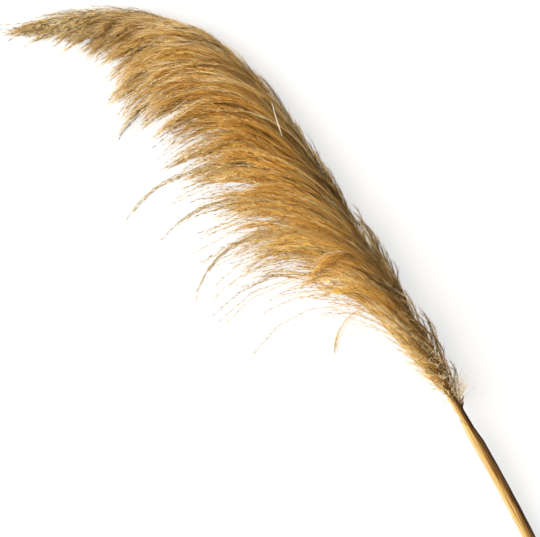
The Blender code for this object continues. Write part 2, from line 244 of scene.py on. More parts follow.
def place(s, across, up):
    """World points from distances along the rachis, across it to the drooping side, and up.

    Below the rachis the plume is pressed on the floor, and above it the plume sinks a little.
    """
    back, height = nose(s), line_height(s)
    depth = np.interp(across / back, skirt_across, skirt_down) * back * SKIRT_SHARE
    pressed = (height - FLOOR_GAP) * np.maximum(1 + up / np.maximum(depth, SKIRT_LEAST), 0) + FLOOR_GAP
    sunk = np.where(up > 0, height + CROWN_SQUASH * up, pressed)
    core = smooth((CORE[1] - np.hypot(across, up)) / (CORE[1] - CORE[0]))
    turn = heading(s)
    x = np.interp(s, line_s, line_x) - across * np.sin(turn)
    y = np.interp(s, line_s, line_y) + across * np.cos(turn)
    return np.stack([x, y, sunk + (height + up - sunk) * core], -1)


print("the plume stands out by", min(NOSE), "to", max(NOSE), "mm on its back")

# %% [markdown]
# ## How the branches droop
#
# Along the rachis each branch starts almost parallel to it and turns more and more until it hangs in
# one direction. Branches of the back are shorter and stay closer. The tables hold what the photograph
# shows of their lengths and of the heading that they end in.

# %% How the branches droop
# Distances along the rachis, and the branches' lengths there, both in millimetres, the heading that
# they end in, in degrees, and how late they turn to it.
BRANCH_AT = (0, 25, 50, 75, 110, 160, 210, 260, 310, 350, 390, 420, 450, 475, 505)
BRANCH_LENGTH = (158, 180, 200, 212, 212, 198, 184, 174, 160, 140, 109, 91, 86, 90, 106)
BRANCH_DROOP = (46, 56, 68, 78, 84, 88, 90, 90, 88, 88, 88, 84, 72, 58, 44)
BRANCH_POWER = (3.2, 3.0, 2.8, 2.5, 2.2, 2.1, 2.1, 2.1, 2.0, 2.0, 1.9, 1.9, 1.8, 1.7, 1.6)
BACK_FROM, BACK_RUN = 1.7, 1.2  # directions round the rachis, in radians from the drooping side
BACK_DROOP = math.radians(42)
BACK_SHORTER = 0.55
LEAN, BACK_LEAN, TIP_LEAN_SHARE = math.radians(9), math.radians(26), 0.45
TIP_LEAN_FROM = 400 * MM
AHEAD = 0.55  # share of a branch's length at which the rachis's heading counts for it
ROOT_OUT = 0.6 * MM
FLOW_PIECES, FLOW_STEPS = 16, 4


def backward(fan):
    """0 for a branch that leaves towards the drooping side, and 1 for one on the plume's back."""
    return smooth((np.abs(fan) - BACK_FROM) / BACK_RUN)


def towards_tip(s):
    """0 as far as the upper part of the plume, and 1 at the end of the rachis."""
    return smooth((s - TIP_LEAN_FROM) / (RACHIS_LENGTH - TIP_LEAN_FROM))


def habit(start, fan, length_share):
    """Usual length, first lean to the rachis, last lean and power of branches."""
    at, back = start / MM, backward(fan)
    length = np.interp(at, BRANCH_AT, BRANCH_LENGTH) * MM * (1 - BACK_SHORTER * back) * length_share
    lean = (LEAN + (BACK_LEAN - LEAN) * back) * (1 + (TIP_LEAN_SHARE - 1) * towards_tip(start))
    last = np.radians(np.interp(at, BRANCH_AT, BRANCH_DROOP)) - heading(start + AHEAD * length)
    return length, lean, last + (BACK_DROOP - last) * back, np.interp(at, BRANCH_AT, BRANCH_POWER)


def flow(start, fan, length, lean, last, power):
    """Centre lines of branches, for arrays of starts, directions round the rachis and habits."""
    s = start.copy()
    root = culm_radius(start) + ROOT_OUT
    across, up = root * np.cos(fan), root * np.sin(fan)
    steps = FLOW_PIECES * FLOW_STEPS
    step = length / steps
    points = [place(s, across, up)]
    for count in range(steps):
        angle = lean + (last - lean) * ((count + 0.5) / steps) ** power
        apart = across**2 + up**2
        flow_across, flow_up = 1 + nose(s) * across / apart, nose(s) * up / apart
        speed = np.hypot(flow_across, flow_up)
        bend = (heading(s + STEP) - heading(s - STEP)) / (2 * STEP)
        s = s + np.cos(angle) * step / (1 - bend * across)
        across = across + np.sin(angle) * flow_across / speed * step
        up = up + np.sin(angle) * flow_up / speed * step
        if (count + 1) % FLOW_STEPS == 0:
            points.append(place(s, across, up))
    return np.stack(points, 1)


print("the branches are", min(BRANCH_LENGTH), "to", max(BRANCH_LENGTH), "mm long")

# %% [markdown]
# ## Tools for modelling
#
# Blender's operators act on whatever is selected, so nothing may be left selected by chance. A shape
# that will be copied is modelled as an object, and then only its points and triangles are kept.


# %% Tools for modelling
def deselect_all():
    """Leaves nothing selected, in case an operator would act on it."""
    bpy.ops.object.select_all(action="DESELECT")


def point_outwards():
    """Turns all faces of the active object outwards."""
    bpy.ops.object.mode_set(mode="EDIT")
    bpy.ops.mesh.select_all(action="SELECT")
    bpy.ops.mesh.normals_make_consistent(inside=False)
    bpy.ops.object.mode_set(mode="OBJECT")


def move_point_nearest(obj, spot, by):
    """Moves the mesh point nearest to a spot, in edit mode."""
    bpy.ops.object.mode_set(mode="EDIT")
    bpy.ops.mesh.select_all(action="DESELECT")
    bpy.ops.object.mode_set(mode="OBJECT")
    min(obj.data.vertices, key=lambda point: (point.co - mathutils.Vector(spot)).length).select = True
    bpy.ops.object.mode_set(mode="EDIT")
    bpy.ops.transform.translate(value=by)
    bpy.ops.object.mode_set(mode="OBJECT")


def mesh_points(mesh):
    """The points of a mesh as rows of x, y and z."""
    points = np.empty(len(mesh.vertices) * 3)
    mesh.vertices.foreach_get("co", points)
    return points.reshape(-1, 3)


def take_mesh(obj):
    """The points and triangles of the active object's mesh, which is then removed."""
    point_outwards()
    points = mesh_points(obj.data)
    obj.data.calc_loop_triangles()
    faces = np.empty(len(obj.data.loop_triangles) * 3, int)
    obj.data.loop_triangles.foreach_get("vertices", faces)
    bpy.data.objects.remove(obj)
    faces = faces.reshape(-1, 3)
    print(len(points), "points,", len(faces), "triangles")
    return points, faces


# %% [markdown]
# ## Husk, hair and stalk, modelled once
#
# A husk of pampas grass is a slim papery scale about a centimetre long, pointed at both ends. Silky
# hairs stand on it and on the stalks, and outnumber everything else. Both are copied tens of thousands
# of times, so each has only a few faces: the hair is a three-sided cone with its tip bent over, and
# the husk is one whose flat end is pulled back to a second point. A stalk is a three-sided tube. All
# are one unit long here, and get their real sizes when they are copied.

# %% Husk, hair and stalk
HUSK_WIDEST = 0.34
HAIR_BEND = 0.6  # in radii of the hair
STALK_RINGS = 6

deselect_all()
bpy.ops.mesh.primitive_cone_add(
    vertices=3,
    radius1=1,
    depth=1 - HUSK_WIDEST,
    end_fill_type="TRIFAN",
    location=(0, 0, (1 + HUSK_WIDEST) / 2),
)
bpy.ops.object.transform_apply(location=True)
husk = bpy.context.object
move_point_nearest(husk, (0, 0, HUSK_WIDEST), (0, 0, -HUSK_WIDEST))
HUSK = take_mesh(husk)

bpy.ops.mesh.primitive_cone_add(vertices=3, radius1=1, depth=1, location=(0, 0, 0.5))
bpy.ops.object.transform_apply(location=True)
hair = bpy.context.object
move_point_nearest(hair, (0, 0, 1), (HAIR_BEND, 0, 0))
HAIR = take_mesh(hair)

bpy.ops.mesh.primitive_circle_add(vertices=3, radius=1, fill_type="NGON")
stalk = bpy.context.object
bpy.ops.object.mode_set(mode="EDIT")
for _ in range(STALK_RINGS - 1):
    bpy.ops.mesh.extrude_region_move(TRANSFORM_OT_translate={"value": (0, 0, 1 / (STALK_RINGS - 1))})
bpy.ops.object.mode_set(mode="OBJECT")
stalk_points, stalk_faces = take_mesh(stalk)
stalk_ring = np.rint(stalk_points[:, 2] * (STALK_RINGS - 1)).astype(int)

# %% [markdown]
# ## Copies along lines
#
# Hundreds of thousands of operator calls would take hours, so the modelled shapes are copied as
# arrays: a stalk is bent along its path ring by ring, and a hair or husk is turned to lie at its foot.
#
# Each point of the mesh also gets two numbers in a UV map. One is its tone, from dark to pale, and the
# other how weathered it is, from golden to grey. The material reads only these two, so one small map
# colours the whole plume.


# %% Copies along lines
def frames(paths):
    """Directions along, beside and over each point of an array of paths."""
    ahead = np.empty_like(paths)
    ahead[:, 1:-1] = paths[:, 2:] - paths[:, :-2]
    ahead[:, 0], ahead[:, -1] = paths[:, 1] - paths[:, 0], paths[:, -1] - paths[:, -2]
    ahead = unit(ahead)
    beside = unit(np.cross(ahead, (0.0, 0.0, 1.0)))
    return ahead, beside, np.cross(beside, ahead)


def tiled(faces, count, copies):
    """The triangles of many copies of one shape."""
    return (faces[None] + count * np.arange(copies)[:, None, None]).reshape(-1, 3)


def copy_stalks(paths, radii, tone, grey):
    """Stalks along paths. radii, tone and grey have one value for each point of each path."""
    _, beside, over = frames(paths)
    ring = stalk_ring
    x, y = stalk_points[:, 0, None], stalk_points[:, 1, None]
    points = paths[:, ring] + radii[:, ring, None] * (x * beside[:, ring] + y * over[:, ring])
    uv = np.stack([tone[:, ring], grey[:, ring]], -1)
    return points.reshape(-1, 3), uv.reshape(-1, 2), tiled(stalk_faces, len(stalk_points), len(paths))


def copy_shape(shape, feet, ahead, beside, length, width, tone, grey, tip_tone):
    """Copies of a husk or a hair, with their feet at the given points and lying along ahead."""
    shape_points, shape_faces = shape
    over = np.cross(beside, ahead)
    x, y, z = (shape_points[:, i, None] for i in range(3))
    points = feet[:, None] + ahead[:, None] * (z * length[:, None, None])
    points = points + (beside[:, None] * x + over[:, None] * y) * width[:, None, None]
    shaded = tone[:, None] + tip_tone * shape_points[:, 2]
    uv = np.stack([shaded, np.broadcast_to(grey[:, None], shaded.shape)], -1)
    return points.reshape(-1, 3), uv.reshape(-1, 2), tiled(shape_faces, len(shape_points), len(feet))


# %% [markdown]
# ## One mesh from many parts
#
# All the floss of a whorl is one object, as the export wants one piece for each node of the part. Its
# points are kept just over the floor, and hairs over the crown bend down under their own weight.

# %% One mesh from many parts
FLOSS_LOWEST = 0.15 * MM
CROWN, CROWN_GIVE = 50 * MM, 9 * MM
MAP_EDGE = (0.002, 0.998)  # keeps the map's values off its very edge


def join_parts(name, parts, material):
    """One object from several (points, uv, triangles)."""
    shift = np.cumsum([0] + [len(points) for points, _, _ in parts])
    points = np.concatenate([points for points, _, _ in parts])
    points[:, 2] = np.maximum(points[:, 2], FLOSS_LOWEST)
    over = np.maximum(points[:, 2] - CROWN, 0)
    points[:, 2] += CROWN_GIVE * np.tanh(over / CROWN_GIVE) - over
    uv = np.clip(np.concatenate([uv for _, uv, _ in parts]), *MAP_EDGE)
    faces = np.concatenate([faces + shift[i] for i, (_, _, faces) in enumerate(parts)])
    mesh = bpy.data.meshes.new(name)
    mesh.vertices.add(len(points))
    mesh.vertices.foreach_set("co", points.astype(np.float32).ravel())
    mesh.loops.add(faces.size)
    mesh.loops.foreach_set("vertex_index", faces.astype(np.int32).ravel())
    mesh.polygons.add(len(faces))
    mesh.polygons.foreach_set("loop_start", np.arange(0, faces.size, 3, dtype=np.int32))
    mesh.polygons.foreach_set("use_smooth", np.ones(len(faces), bool))
    layer = mesh.uv_layers.new(name="OFBake")
    layer.data.foreach_set("uv", uv[faces.ravel()].astype(np.float32).ravel())
    mesh.update(calc_edges=True)
    mesh.materials.append(material)
    made = bpy.data.objects.new(name, mesh)
    bpy.context.scene.collection.objects.link(made)
    return made


# %% [markdown]
# ## Floss material
#
# The floss is dry plant fibre, cellulose with a silky skin, and light goes into it and comes out
# again, which is why a plume glows. Sheltered floss is golden, and floss that has stood in the sun and
# rain turns olive and then straw grey. Two ramps give the colours of the two, from the dark of a bare
# stalk to the bleached end of a hair, and the weathering mixes them.

# %% Floss material
floss, tree = new_material("dried_floss")
uv_map = add_node(tree, "ShaderNodeUVMap", uv_map="OFBake")
split = add_node(tree, "ShaderNodeSeparateXYZ", {0: uv_map.outputs[0]})
golden = add_node(
    tree,
    "ShaderNodeValToRGB",
    {0: split.outputs[0]},
    [(0.0, "#4a2a0c"), (0.2, "#9a5f1c"), (0.45, "#e09a30"), (0.7, "#f6c662"), (1.0, "#fdeab8")],
)
weathered = add_node(
    tree,
    "ShaderNodeValToRGB",
    {0: split.outputs[0]},
    [(0.0, "#33260f"), (0.2, "#6b5431"), (0.45, "#ab8c58"), (0.7, "#d9c395"), (1.0, "#f8f0dc")],
)
both = add_node(
    tree,
    "ShaderNodeMix",
    {0: split.outputs[1], 6: golden.outputs[0], 7: weathered.outputs[0]},
    data_type="RGBA",
)
shader = add_node(
    tree,
    "ShaderNodeBsdfPrincipled",
    {
        "Base Color": both.outputs[2],
        "Roughness": 0.5,
        "IOR": 1.45,
        "Specular IOR Level": 0.3,
        "Subsurface Weight": 0.3,
        "Subsurface Radius": (1.0, 0.6, 0.25),
        "Subsurface Scale": 1.5 * MM,
    },
)
add_node(tree, "ShaderNodeOutputMaterial", {0: shader.outputs[0]})
print(floss.name, "has", len(tree.nodes), "nodes")

# %% [markdown]
# ## Broad colours over the plume
#
# The plume isn't one colour. On its back the branches show their bare, weathered stalks, olive brown,
# and the back is painted darker still as shade, since it lies away from the lamp. From there the floss
# grows golden towards the drooping side, and its ends are bleached. Near the foot that side is paler
# still, one band in the upper half is darker, partly in its own colour and partly as painted shade,
# and the tip is tan. Each colour is looked up by the distance across the rachis, so every point first
# finds the line's nearest point.

# %% Broad colours over the plume
# Distances across the rachis in millimetres, and the tone and weathering there.
ACROSS_AT = (-22, -10, -2, 7, 16, 27, 45, 65, 90)
# The lowest tones, on the back, are partly the bare stalks' own olive brown and partly painted shade,
# away from the lamp.
ACROSS_TONE_AND_SHADE = (0.32, 0.11, 0.2, 0.36, 0.44, 0.53, 0.59, 0.58, 0.52)
ACROSS_GREY = (0.85, 0.65, 0.6, 0.35, 0.2, 0.1, 0.12, 0.28, 0.55)
FOOT_END, FOOT_FROM, FOOT_RUN = 190 * MM, -1 * MM, 11 * MM
FOOT_PALE, FOOT_LESS_GREY = 0.34, 0.6
# A band in the upper half is darker: partly the floss's own colour, partly painted shade between the
# locks.
DULL_AT, DULL_HALF, DULL_AND_SHADE_TONE = 305 * MM, 45 * MM, 0.12
DULL_FROM, DULL_RUN, DULL_TO, DULL_FADE = 8 * MM, 12 * MM, 80 * MM, 50 * MM
TIP_FROM, TIP_GREY = (400 * MM, 500 * MM), 0.4
TIP_ACROSS, TIP_TONE = (-8, 4, 22, 40), (0.05, -0.19, -0.15, 0.03)
END_FROM, END_TONE, END_GREY = (485 * MM, 535 * MM), 0.22, 0.25
PALER_BACK_FROM, PALER_BACK_RUN, PALER_BACK_WIDE = 265 * MM, 135 * MM, 22 * MM
PALER_BACK, PALER_BACK_LESS_GREY = 0.2, 0.4
NEAR_EVERY = 2  # points of the line that are passed over in the search


def ramped(s, span):
    """0 before the span, 1 after it, and an even curve between."""
    return smooth((s - span[0]) / (span[1] - span[0]))


def swell(s, middle, half):
    """1 at the middle, fading to 0 on both sides."""
    return np.exp(-(((s - middle) / half) ** 2))


def along_and_across(points):
    """Distances along and across the rachis of the line's point that is nearest, seen from above."""
    near_s, near_x, near_y = line_s[::NEAR_EVERY], line_x[::NEAR_EVERY], line_y[::NEAR_EVERY]
    apart = np.hypot(points[..., 0, None] - near_x, points[..., 1, None] - near_y)
    spot = np.argmin(apart, -1)
    turn = heading(near_s[spot])
    aside_x, aside_y = points[..., 0] - near_x[spot], points[..., 1] - near_y[spot]
    return near_s[spot], aside_y * np.cos(turn) - aside_x * np.sin(turn)


def broad_colour(points):
    """Tone and weathering at places of the plume, before its strands differ."""
    s, across = along_and_across(points)
    # Across the rachis the tone darkens to the back: the stalks' own colour there, with painted shade on
    # top.
    tone = np.interp(across / MM, ACROSS_AT, ACROSS_TONE_AND_SHADE)
    grey = np.interp(across / MM, ACROSS_AT, ACROSS_GREY)
    foot = smooth(1 - s / FOOT_END) * smooth((across - FOOT_FROM) / FOOT_RUN)
    inner = smooth((across - DULL_FROM) / DULL_RUN) * smooth((DULL_TO - across) / DULL_FADE)
    dull_and_shade = swell(s, DULL_AT, DULL_HALF) * inner
    tip, end = ramped(s, TIP_FROM), ramped(s, END_FROM)
    behind = smooth((PALER_BACK_WIDE - across) / PALER_BACK_WIDE)
    paler = smooth((s - PALER_BACK_FROM) / PALER_BACK_RUN) * behind
    tip_tone = np.interp(across / MM, TIP_ACROSS, TIP_TONE)
    # The band in the upper half is darkened here, partly own colour and partly painted shade.
    tone = tone + FOOT_PALE * foot - DULL_AND_SHADE_TONE * dull_and_shade
    tone = tone + tip_tone * tip + END_TONE * end + PALER_BACK * paler
    grey = grey * (1 - FOOT_LESS_GREY * foot) * (1 - PALER_BACK_LESS_GREY * paler)
    return tone, grey + TIP_GREY * tip + END_GREY * end


print("tones from", min(ACROSS_TONE_AND_SHADE), "on the back to", max(ACROSS_TONE_AND_SHADE), "on the drooping side")

# %% [markdown]
# ## Locks
#
# A branch of the plume is a lock: a bundle that leaves the rachis as one, spreads out and comes
# together again in a point. Every whorl gets its locks at golden angles round the rachis, so that none
# lies over the next. The ends of neighbouring locks cling together in wisps, with gaps between them.
#
# Near the foot the drooping side hugs the rachis, and some locks just above turn sharply out of the
# plume. The middle is longer than the coarse model's branches, and the tip's locks hang further.

# %% Locks
WHORLS = 18
PITCH = (RACHIS_LENGTH - 4 * MM) / WHORLS
LOCKS, GUIDE_EVERY = 22, 4
GOLDEN_SHARE = (math.sqrt(5) - 1) / 2
FAN_SHARE, FAN_SPREAD = 0.8, 0.05
GATHER_FROM, GATHER, GATHER_LESS_AT_TIP = 0.4, 0.8, 0.8
HUG, HUG_END = 0.65, 110 * MM
# Distances along the rachis in millimetres, and what is added to the length's share there.
LONGER_AT = (150, 200, 250, 300, 350, 400, 450, 520)
LONGER = (0, 0.12, 0.22, 0.12, -0.1, -0.02, 0.04, -0.1)
TURN_AT, TURN_HALF, TURN_MORE, TURN_SOONER = 65 * MM, 40 * MM, math.radians(42), 0.45
LOWER_FROM, UNDER_FROM = 50 * MM, 5 * MM
LOCK_LENGTHS, LOCK_LEANS, LOCK_POWERS = (0.84, 1.08), (0.9, 1.3), (0.85, 1.2)
TOP_LEAN, TOP_POWER, TIP_POWER = 0.3, 0.4, 0.3
TIP_TURN, TIP_TURN_SPREAD, TIP_TURN_MOST = 0.85, 0.35, 1.25


def gather(lines, fan, start):
    """Draws the ends of neighbouring locks together, as wet hair clings, but for those of the back."""
    guides = np.arange(0, len(lines), GUIDE_EVERY)
    apart = np.abs((fan[:, None] - fan[None, guides] + math.pi) % (2 * math.pi) - math.pi)
    nearest = guides[np.argmin(apart, axis=1)]
    pull = smooth((np.linspace(0, 1, lines.shape[1]) - GATHER_FROM) / (1 - GATHER_FROM))
    much = GATHER * (1 - backward(fan)) * (1 - GATHER_LESS_AT_TIP * towards_tip(start))
    return lines + (lines[nearest] - lines) * (much[:, None] * pull)[..., None]


def turn_out(start, last, power, much):
    """The last lean and power of branches, of which those near the foot turn out of the plume."""
    turned = much * swell(start, TURN_AT, TURN_HALF)
    return last + TURN_MORE * turned, power * (1 - TURN_SOONER * turned)


def hug(start, fan):
    """How much less a branch of the plume's foot leans out on its drooping side."""
    return 1 - HUG * smooth(1 - start / HUG_END) * np.maximum(np.cos(fan), 0)


def lock_lines(whorl, random):
    """Centre lines of one whorl's locks, with their directions round the rachis."""
    start = whorl * PITCH + PITCH * (np.arange(LOCKS) + 0.5) / LOCKS
    fan = (((np.arange(LOCKS) + whorl * LOCKS) * GOLDEN_SHARE) % 1 * 2 - 1) * math.pi * FAN_SHARE
    fan = fan + random.normal(0, FAN_SPREAD, LOCKS)
    tip, top = towards_tip(start), np.maximum(np.sin(fan), 0)
    much = random.uniform(*LOCK_LENGTHS, LOCKS) + np.interp(start / MM, LONGER_AT, LONGER)
    length, lean, last, power = habit(start, fan, much)
    lean = lean * random.uniform(*LOCK_LEANS, LOCKS) * (1 - TOP_LEAN * top)
    lean = lean * np.where(fan < 0, smooth((start + UNDER_FROM) / LOWER_FROM), 1) * hug(start, fan)
    last = last + random.normal(TIP_TURN, TIP_TURN_SPREAD, LOCKS) * tip * (TIP_TURN_MOST - tip)
    power = power * random.uniform(*LOCK_POWERS, LOCKS) * (1 + TOP_POWER * top) * (1 - TIP_POWER * tip)
    last, power = turn_out(start, last, power, random.uniform(0, 1, LOCKS) ** 2)
    return gather(flow(start, fan, length, lean, last, power), fan, start), fan


print(WHORLS * LOCKS, "locks, one for every", round(PITCH / LOCKS / MM, 2), "mm of the rachis")

# %% [markdown]
# ## Bristles and strays
#
# On the plume's back and over the rachis the whorls have bristles, thin sprays that stay short and
# stand off a little. They are bushiest at the back of the foot and again high up on the plume. A few
# strays, single stalks, reach out further than the rest and blur the fringe.

# %% Bristles and strays
BRISTLES, STRAYS = 60, 20
BRISTLE_FANS, UPPER_SHARE = (1.1, 3.1), 0.72
# Of the bristles that lie close, and of those that stand off most.
BRISTLE_LENGTH = (90 * MM, 36 * MM)
BRISTLE_LEAN = (math.radians(4), math.radians(17))
BRISTLE_LAST = (math.radians(8), math.radians(38))
BRISTLE_LENGTHS, BRISTLE_POWERS, BRISTLE_TIP_SHORTER = (0.8, 1.2), (0.9, 1.6), 0.35
FOOT_BUSHY, UPPER_BUSHY, BUSHY_END, BUSHY_SIDE = 1.0, 0.7, 240 * MM, 0.6
STREAKY_AT, STREAKY_HALF = 400 * MM, 45 * MM
STRAY_FANS, STRAY_LENGTHS = (-1.0, 2.4), (0.8, 1.03)
STRAY_LEANS, STRAY_POWERS = (0.9, 1.6), (0.7, 1.2)


def bristle_lines(whorl, random):
    """Centre lines of one whorl's bristles, on the plume's back and over the rachis."""
    many = BRISTLES
    start = (whorl + random.uniform(0, 1, many)) * PITCH
    upper = random.uniform(0, 1, many) < np.where(start > LOWER_FROM, UPPER_SHARE, 1)
    fan = random.uniform(*BRISTLE_FANS, many) * np.where(upper, 1, -1)
    steep = random.uniform(0, 1, many)
    length = np.interp(steep, (0, 1), BRISTLE_LENGTH) * random.uniform(*BRISTLE_LENGTHS, many)
    length = length * (1 - BRISTLE_TIP_SHORTER * towards_tip(start))
    high = swell(start, STREAKY_AT, STREAKY_HALF)
    low = smooth(1 - start / BUSHY_END) * smooth(BUSHY_SIDE - np.cos(fan))
    bushy = (1 + FOOT_BUSHY * low + UPPER_BUSHY * high) * hug(start, fan)
    lean = np.interp(steep, (0, 1), BRISTLE_LEAN) * bushy
    last = np.interp(steep, (0, 1), BRISTLE_LAST) * bushy
    return flow(start, fan, length, lean, last, random.uniform(*BRISTLE_POWERS, many))


def stray_lines(whorl, random):
    """Centre lines of one whorl's strays."""
    many = STRAYS
    start = (whorl + random.uniform(0, 1, many)) * PITCH
    fan = random.uniform(*STRAY_FANS, many)
    length, lean, last, power = habit(start, fan, random.uniform(*STRAY_LENGTHS, many))
    lean = lean * random.uniform(*STRAY_LEANS, many) * hug(start, fan)
    power = power * random.uniform(*STRAY_POWERS, many)
    last, power = turn_out(start, last, power, random.uniform(0, 1, many))
    return flow(start, fan, length, lean, last, power)


print(WHORLS * BRISTLES, "bristles and", WHORLS * STRAYS, "strays")

# %% [markdown]
# ## From locks to tresses and stalks
#
# Hair combs into ever finer strands, and so does the plume: a lock parts into tresses, and a tress
# into stalks. One function does both steps. It runs thinner lines beside a thicker one, each with a
# place of its own in the bundle, a slight twist and a sway, so that light catches them apart.

# %% From locks to tresses and stalks
LOCK_NECK, LOCK_SKEW, LOCK_ROUND = 0.12, 0.8, 0.9
OPEN_POWER = 0.8
TWIST, LEAST_REACH = 0.5, 0.02
WAVE, WAVES = 0.6 * MM, (0.5, 1.5)
FLATTER, SWAY_FLATTER = 0.8, 0.6


def at_share(values, share):
    """Values along each path at shares from 0 to 1 of it, for an array of paths."""
    last = values.shape[1] - 1
    spot = np.clip(share, 0, 1) * last
    low = np.minimum(spot.astype(int), last - 1)
    part = (spot - low)[..., None]
    rows = np.arange(len(values))[:, None]
    return values[rows, low] * (1 - part) + values[rows, low + 1] * part


def lock_width(share):
    """Width of a lock along its length, from 0 to 1: narrow, then full, then drawn to a point."""
    full = np.sin(math.pi * np.clip(share, 0, 1) ** LOCK_SKEW) ** LOCK_ROUND
    return LOCK_NECK + (1 - LOCK_NECK) * full


def spread_stalks(lines, count, radius, open_end, spans, random, rings=STALK_RINGS):
    """Stalks that run beside lines: the line that each belongs to, its path, and its shares of it.

    Each begins somewhere in the first of the two spans and ends somewhere in the other. open_end is
    0 for a bundle that closes to a point, and 1 for one that opens like a brush.
    """
    owner = np.repeat(np.arange(len(lines)), count)
    many = len(owner)
    first = random.uniform(*spans[0], many)
    last = random.uniform(*spans[1], many)
    share = first[:, None] + (last - first)[:, None] * np.linspace(0, 1, rings)
    _, beside, over = frames(lines)
    angle = random.uniform(0, 2 * math.pi, (many, 1)) + random.normal(0, TWIST, (many, 1)) * share
    width = lock_width(share) * (1 - open_end) + share**OPEN_POWER * open_end
    reach = np.sqrt(random.uniform(LEAST_REACH, 1, (many, 1))) * width * radius[owner, None]
    phase, turns = random.uniform(0, 2 * math.pi, (2, many, 1)), random.uniform(*WAVES, (many, 1))
    sway = WAVE * share
    aside = reach * np.cos(angle) + sway * np.sin(phase[0] + 2 * math.pi * turns * share)
    above_sway = SWAY_FLATTER * sway * np.sin(phase[1] + 2 * math.pi * turns * share)
    above = FLATTER * reach * np.sin(angle) + above_sway
    paths = at_share(lines[owner], share)
    paths = paths + aside[..., None] * at_share(beside[owner], share)
    return owner, paths + above[..., None] * at_share(over[owner], share), share


print("a lock is", LOCK_NECK, "of its full width at its foot")

# %% [markdown]
# ## Husks and hairs on the stalks
#
# Hairs lie almost along their stalk in the locks and stand off it on the bristles. Husks sit towards
# the ends, and at the tip of the plume, where they aren't hidden, they stand in two rows like a
# herringbone. Real hairs are far below 0.1 mm thick. Thinner than about a third of a pixel they
# wouldn't show at all, so they are drawn about 0.35 mm thick and fewer.

# %% Husks and hairs on the stalks
STALK_RADIUS = 0.2 * MM
STALK_FOOT, STALK_THINNER = 1.1, 0.5
ROLL_SPREAD = 0.8
GROWN_LENGTHS, GROWN_WIDTHS = (0.65, 1.3), (0.75, 1.2)
LONGER_AT_FOOT, SHORTER_AT_END = 1.1, 0.4
GROWN_TONE_SPREAD = 0.05


def grow(shape, paths, tone, grey, spacing, size, width, tilt, span, tip_tone, random):
    """Husks or hairs on stalks, spaced along the given span of each, from 0 to 1."""
    run = np.linalg.norm(np.diff(paths, axis=1), axis=2).sum(1) * (span[1] - span[0])
    counts = np.maximum((run / spacing).astype(int), 1)
    owner = np.repeat(np.arange(len(paths)), counts)
    many = len(owner)
    number = np.arange(many) - np.repeat(np.cumsum(counts) - counts, counts)
    spot = span[0] + (span[1] - span[0]) * (number + random.uniform(0, 1, many)) / counts[owner]
    where = spot * (STALK_RINGS - 1)
    low = np.minimum(where.astype(int), STALK_RINGS - 2)
    share = where - low

    def between(values):
        """Values of the stalks' rings at the feet."""
        part = share.reshape(-1, *[1] * (values.ndim - 2))
        return values[owner, low] * (1 - part) + values[owner, low + 1] * part

    forward, side, up = (between(v) for v in frames(paths))
    roll = random.normal(0, ROLL_SPREAD, many) + math.pi * (number % 2)
    lift = np.radians(random.uniform(*tilt, many))
    out = np.cos(roll)[:, None] * side + np.sin(roll)[:, None] * up
    lie = unit(np.cos(lift)[:, None] * forward + np.sin(lift)[:, None] * out)
    flat = unit(np.cross(lie, np.cross(out, lie)))
    length = size * random.uniform(*GROWN_LENGTHS, many) * (LONGER_AT_FOOT - SHORTER_AT_END * spot)
    wide = width * random.uniform(*GROWN_WIDTHS, many)
    own_tone = between(tone) + random.normal(0.0, GROWN_TONE_SPREAD, many)
    return copy_shape(shape, between(paths), lie, flat, length, wide, own_tone, between(grey), tip_tone)


def strands(paths, share, tone, grey, growths, random, radius=STALK_RADIUS):
    """Stalks with what grows on them, as parts of a mesh."""
    parts = [copy_stalks(paths, radius * (STALK_FOOT - STALK_THINNER * share), tone, grey)]
    for shape, *settings in growths:
        parts.append(grow(shape, paths, tone, grey, *settings, random))
    return parts


# Each row: shape, spacing, length, half width, tilt in degrees, span of the stalk, paler tip.
LOCK_GROWTH = [
    (HAIR, 7.0 * MM, 27 * MM, 0.19 * MM, (0.5, 5), (0.04, 0.95), 0.14),
    (HUSK, 7.5 * MM, 8 * MM, 0.34 * MM, (8, 18), (0.72, 1.0), 0.05),
]
TIP_GROWTH = [
    (HAIR, 8.0 * MM, 14 * MM, 0.18 * MM, (1, 8), (0.04, 0.9), 0.1),
    (HUSK, 6.0 * MM, 9 * MM, 0.42 * MM, (8, 20), (0.4, 1.0), -0.05),
]
BRISTLE_GROWTH = [(HAIR, 5.0 * MM, 13 * MM, 0.17 * MM, (4, 20), (0.1, 1.0), 0.2)]
STRAY_GROWTH = [
    (HAIR, 11.0 * MM, 12 * MM, 0.16 * MM, (2, 9), (0.3, 1.0), 0.1),
    (HUSK, 6.0 * MM, 7 * MM, 0.36 * MM, (6, 16), (0.6, 1.0), 0.0),
]
print("a lock's stalk has a hair for every", round(LOCK_GROWTH[0][1] / MM), "mm of its length")

# %% [markdown]
# ## Every strand its own shade
#
# No two strands have the same colour, and that is what lets the eye see them. Each tress and each
# stalk gets a tone of its own on top of the broad colours. Bare roots differ most, the ends are a
# little greyer, and high up on the plume dark and pale strands lie side by side.

# %% Every strand its own shade
BARE_TO = 0.45
STALK_END_FROM, STALK_END_RUN, STALK_END_DARKER, STALK_END_GREYER = 0.6, 0.4, 0.07, 0.15
GREY_SPREAD, STREAKY = 0.12, 0.9


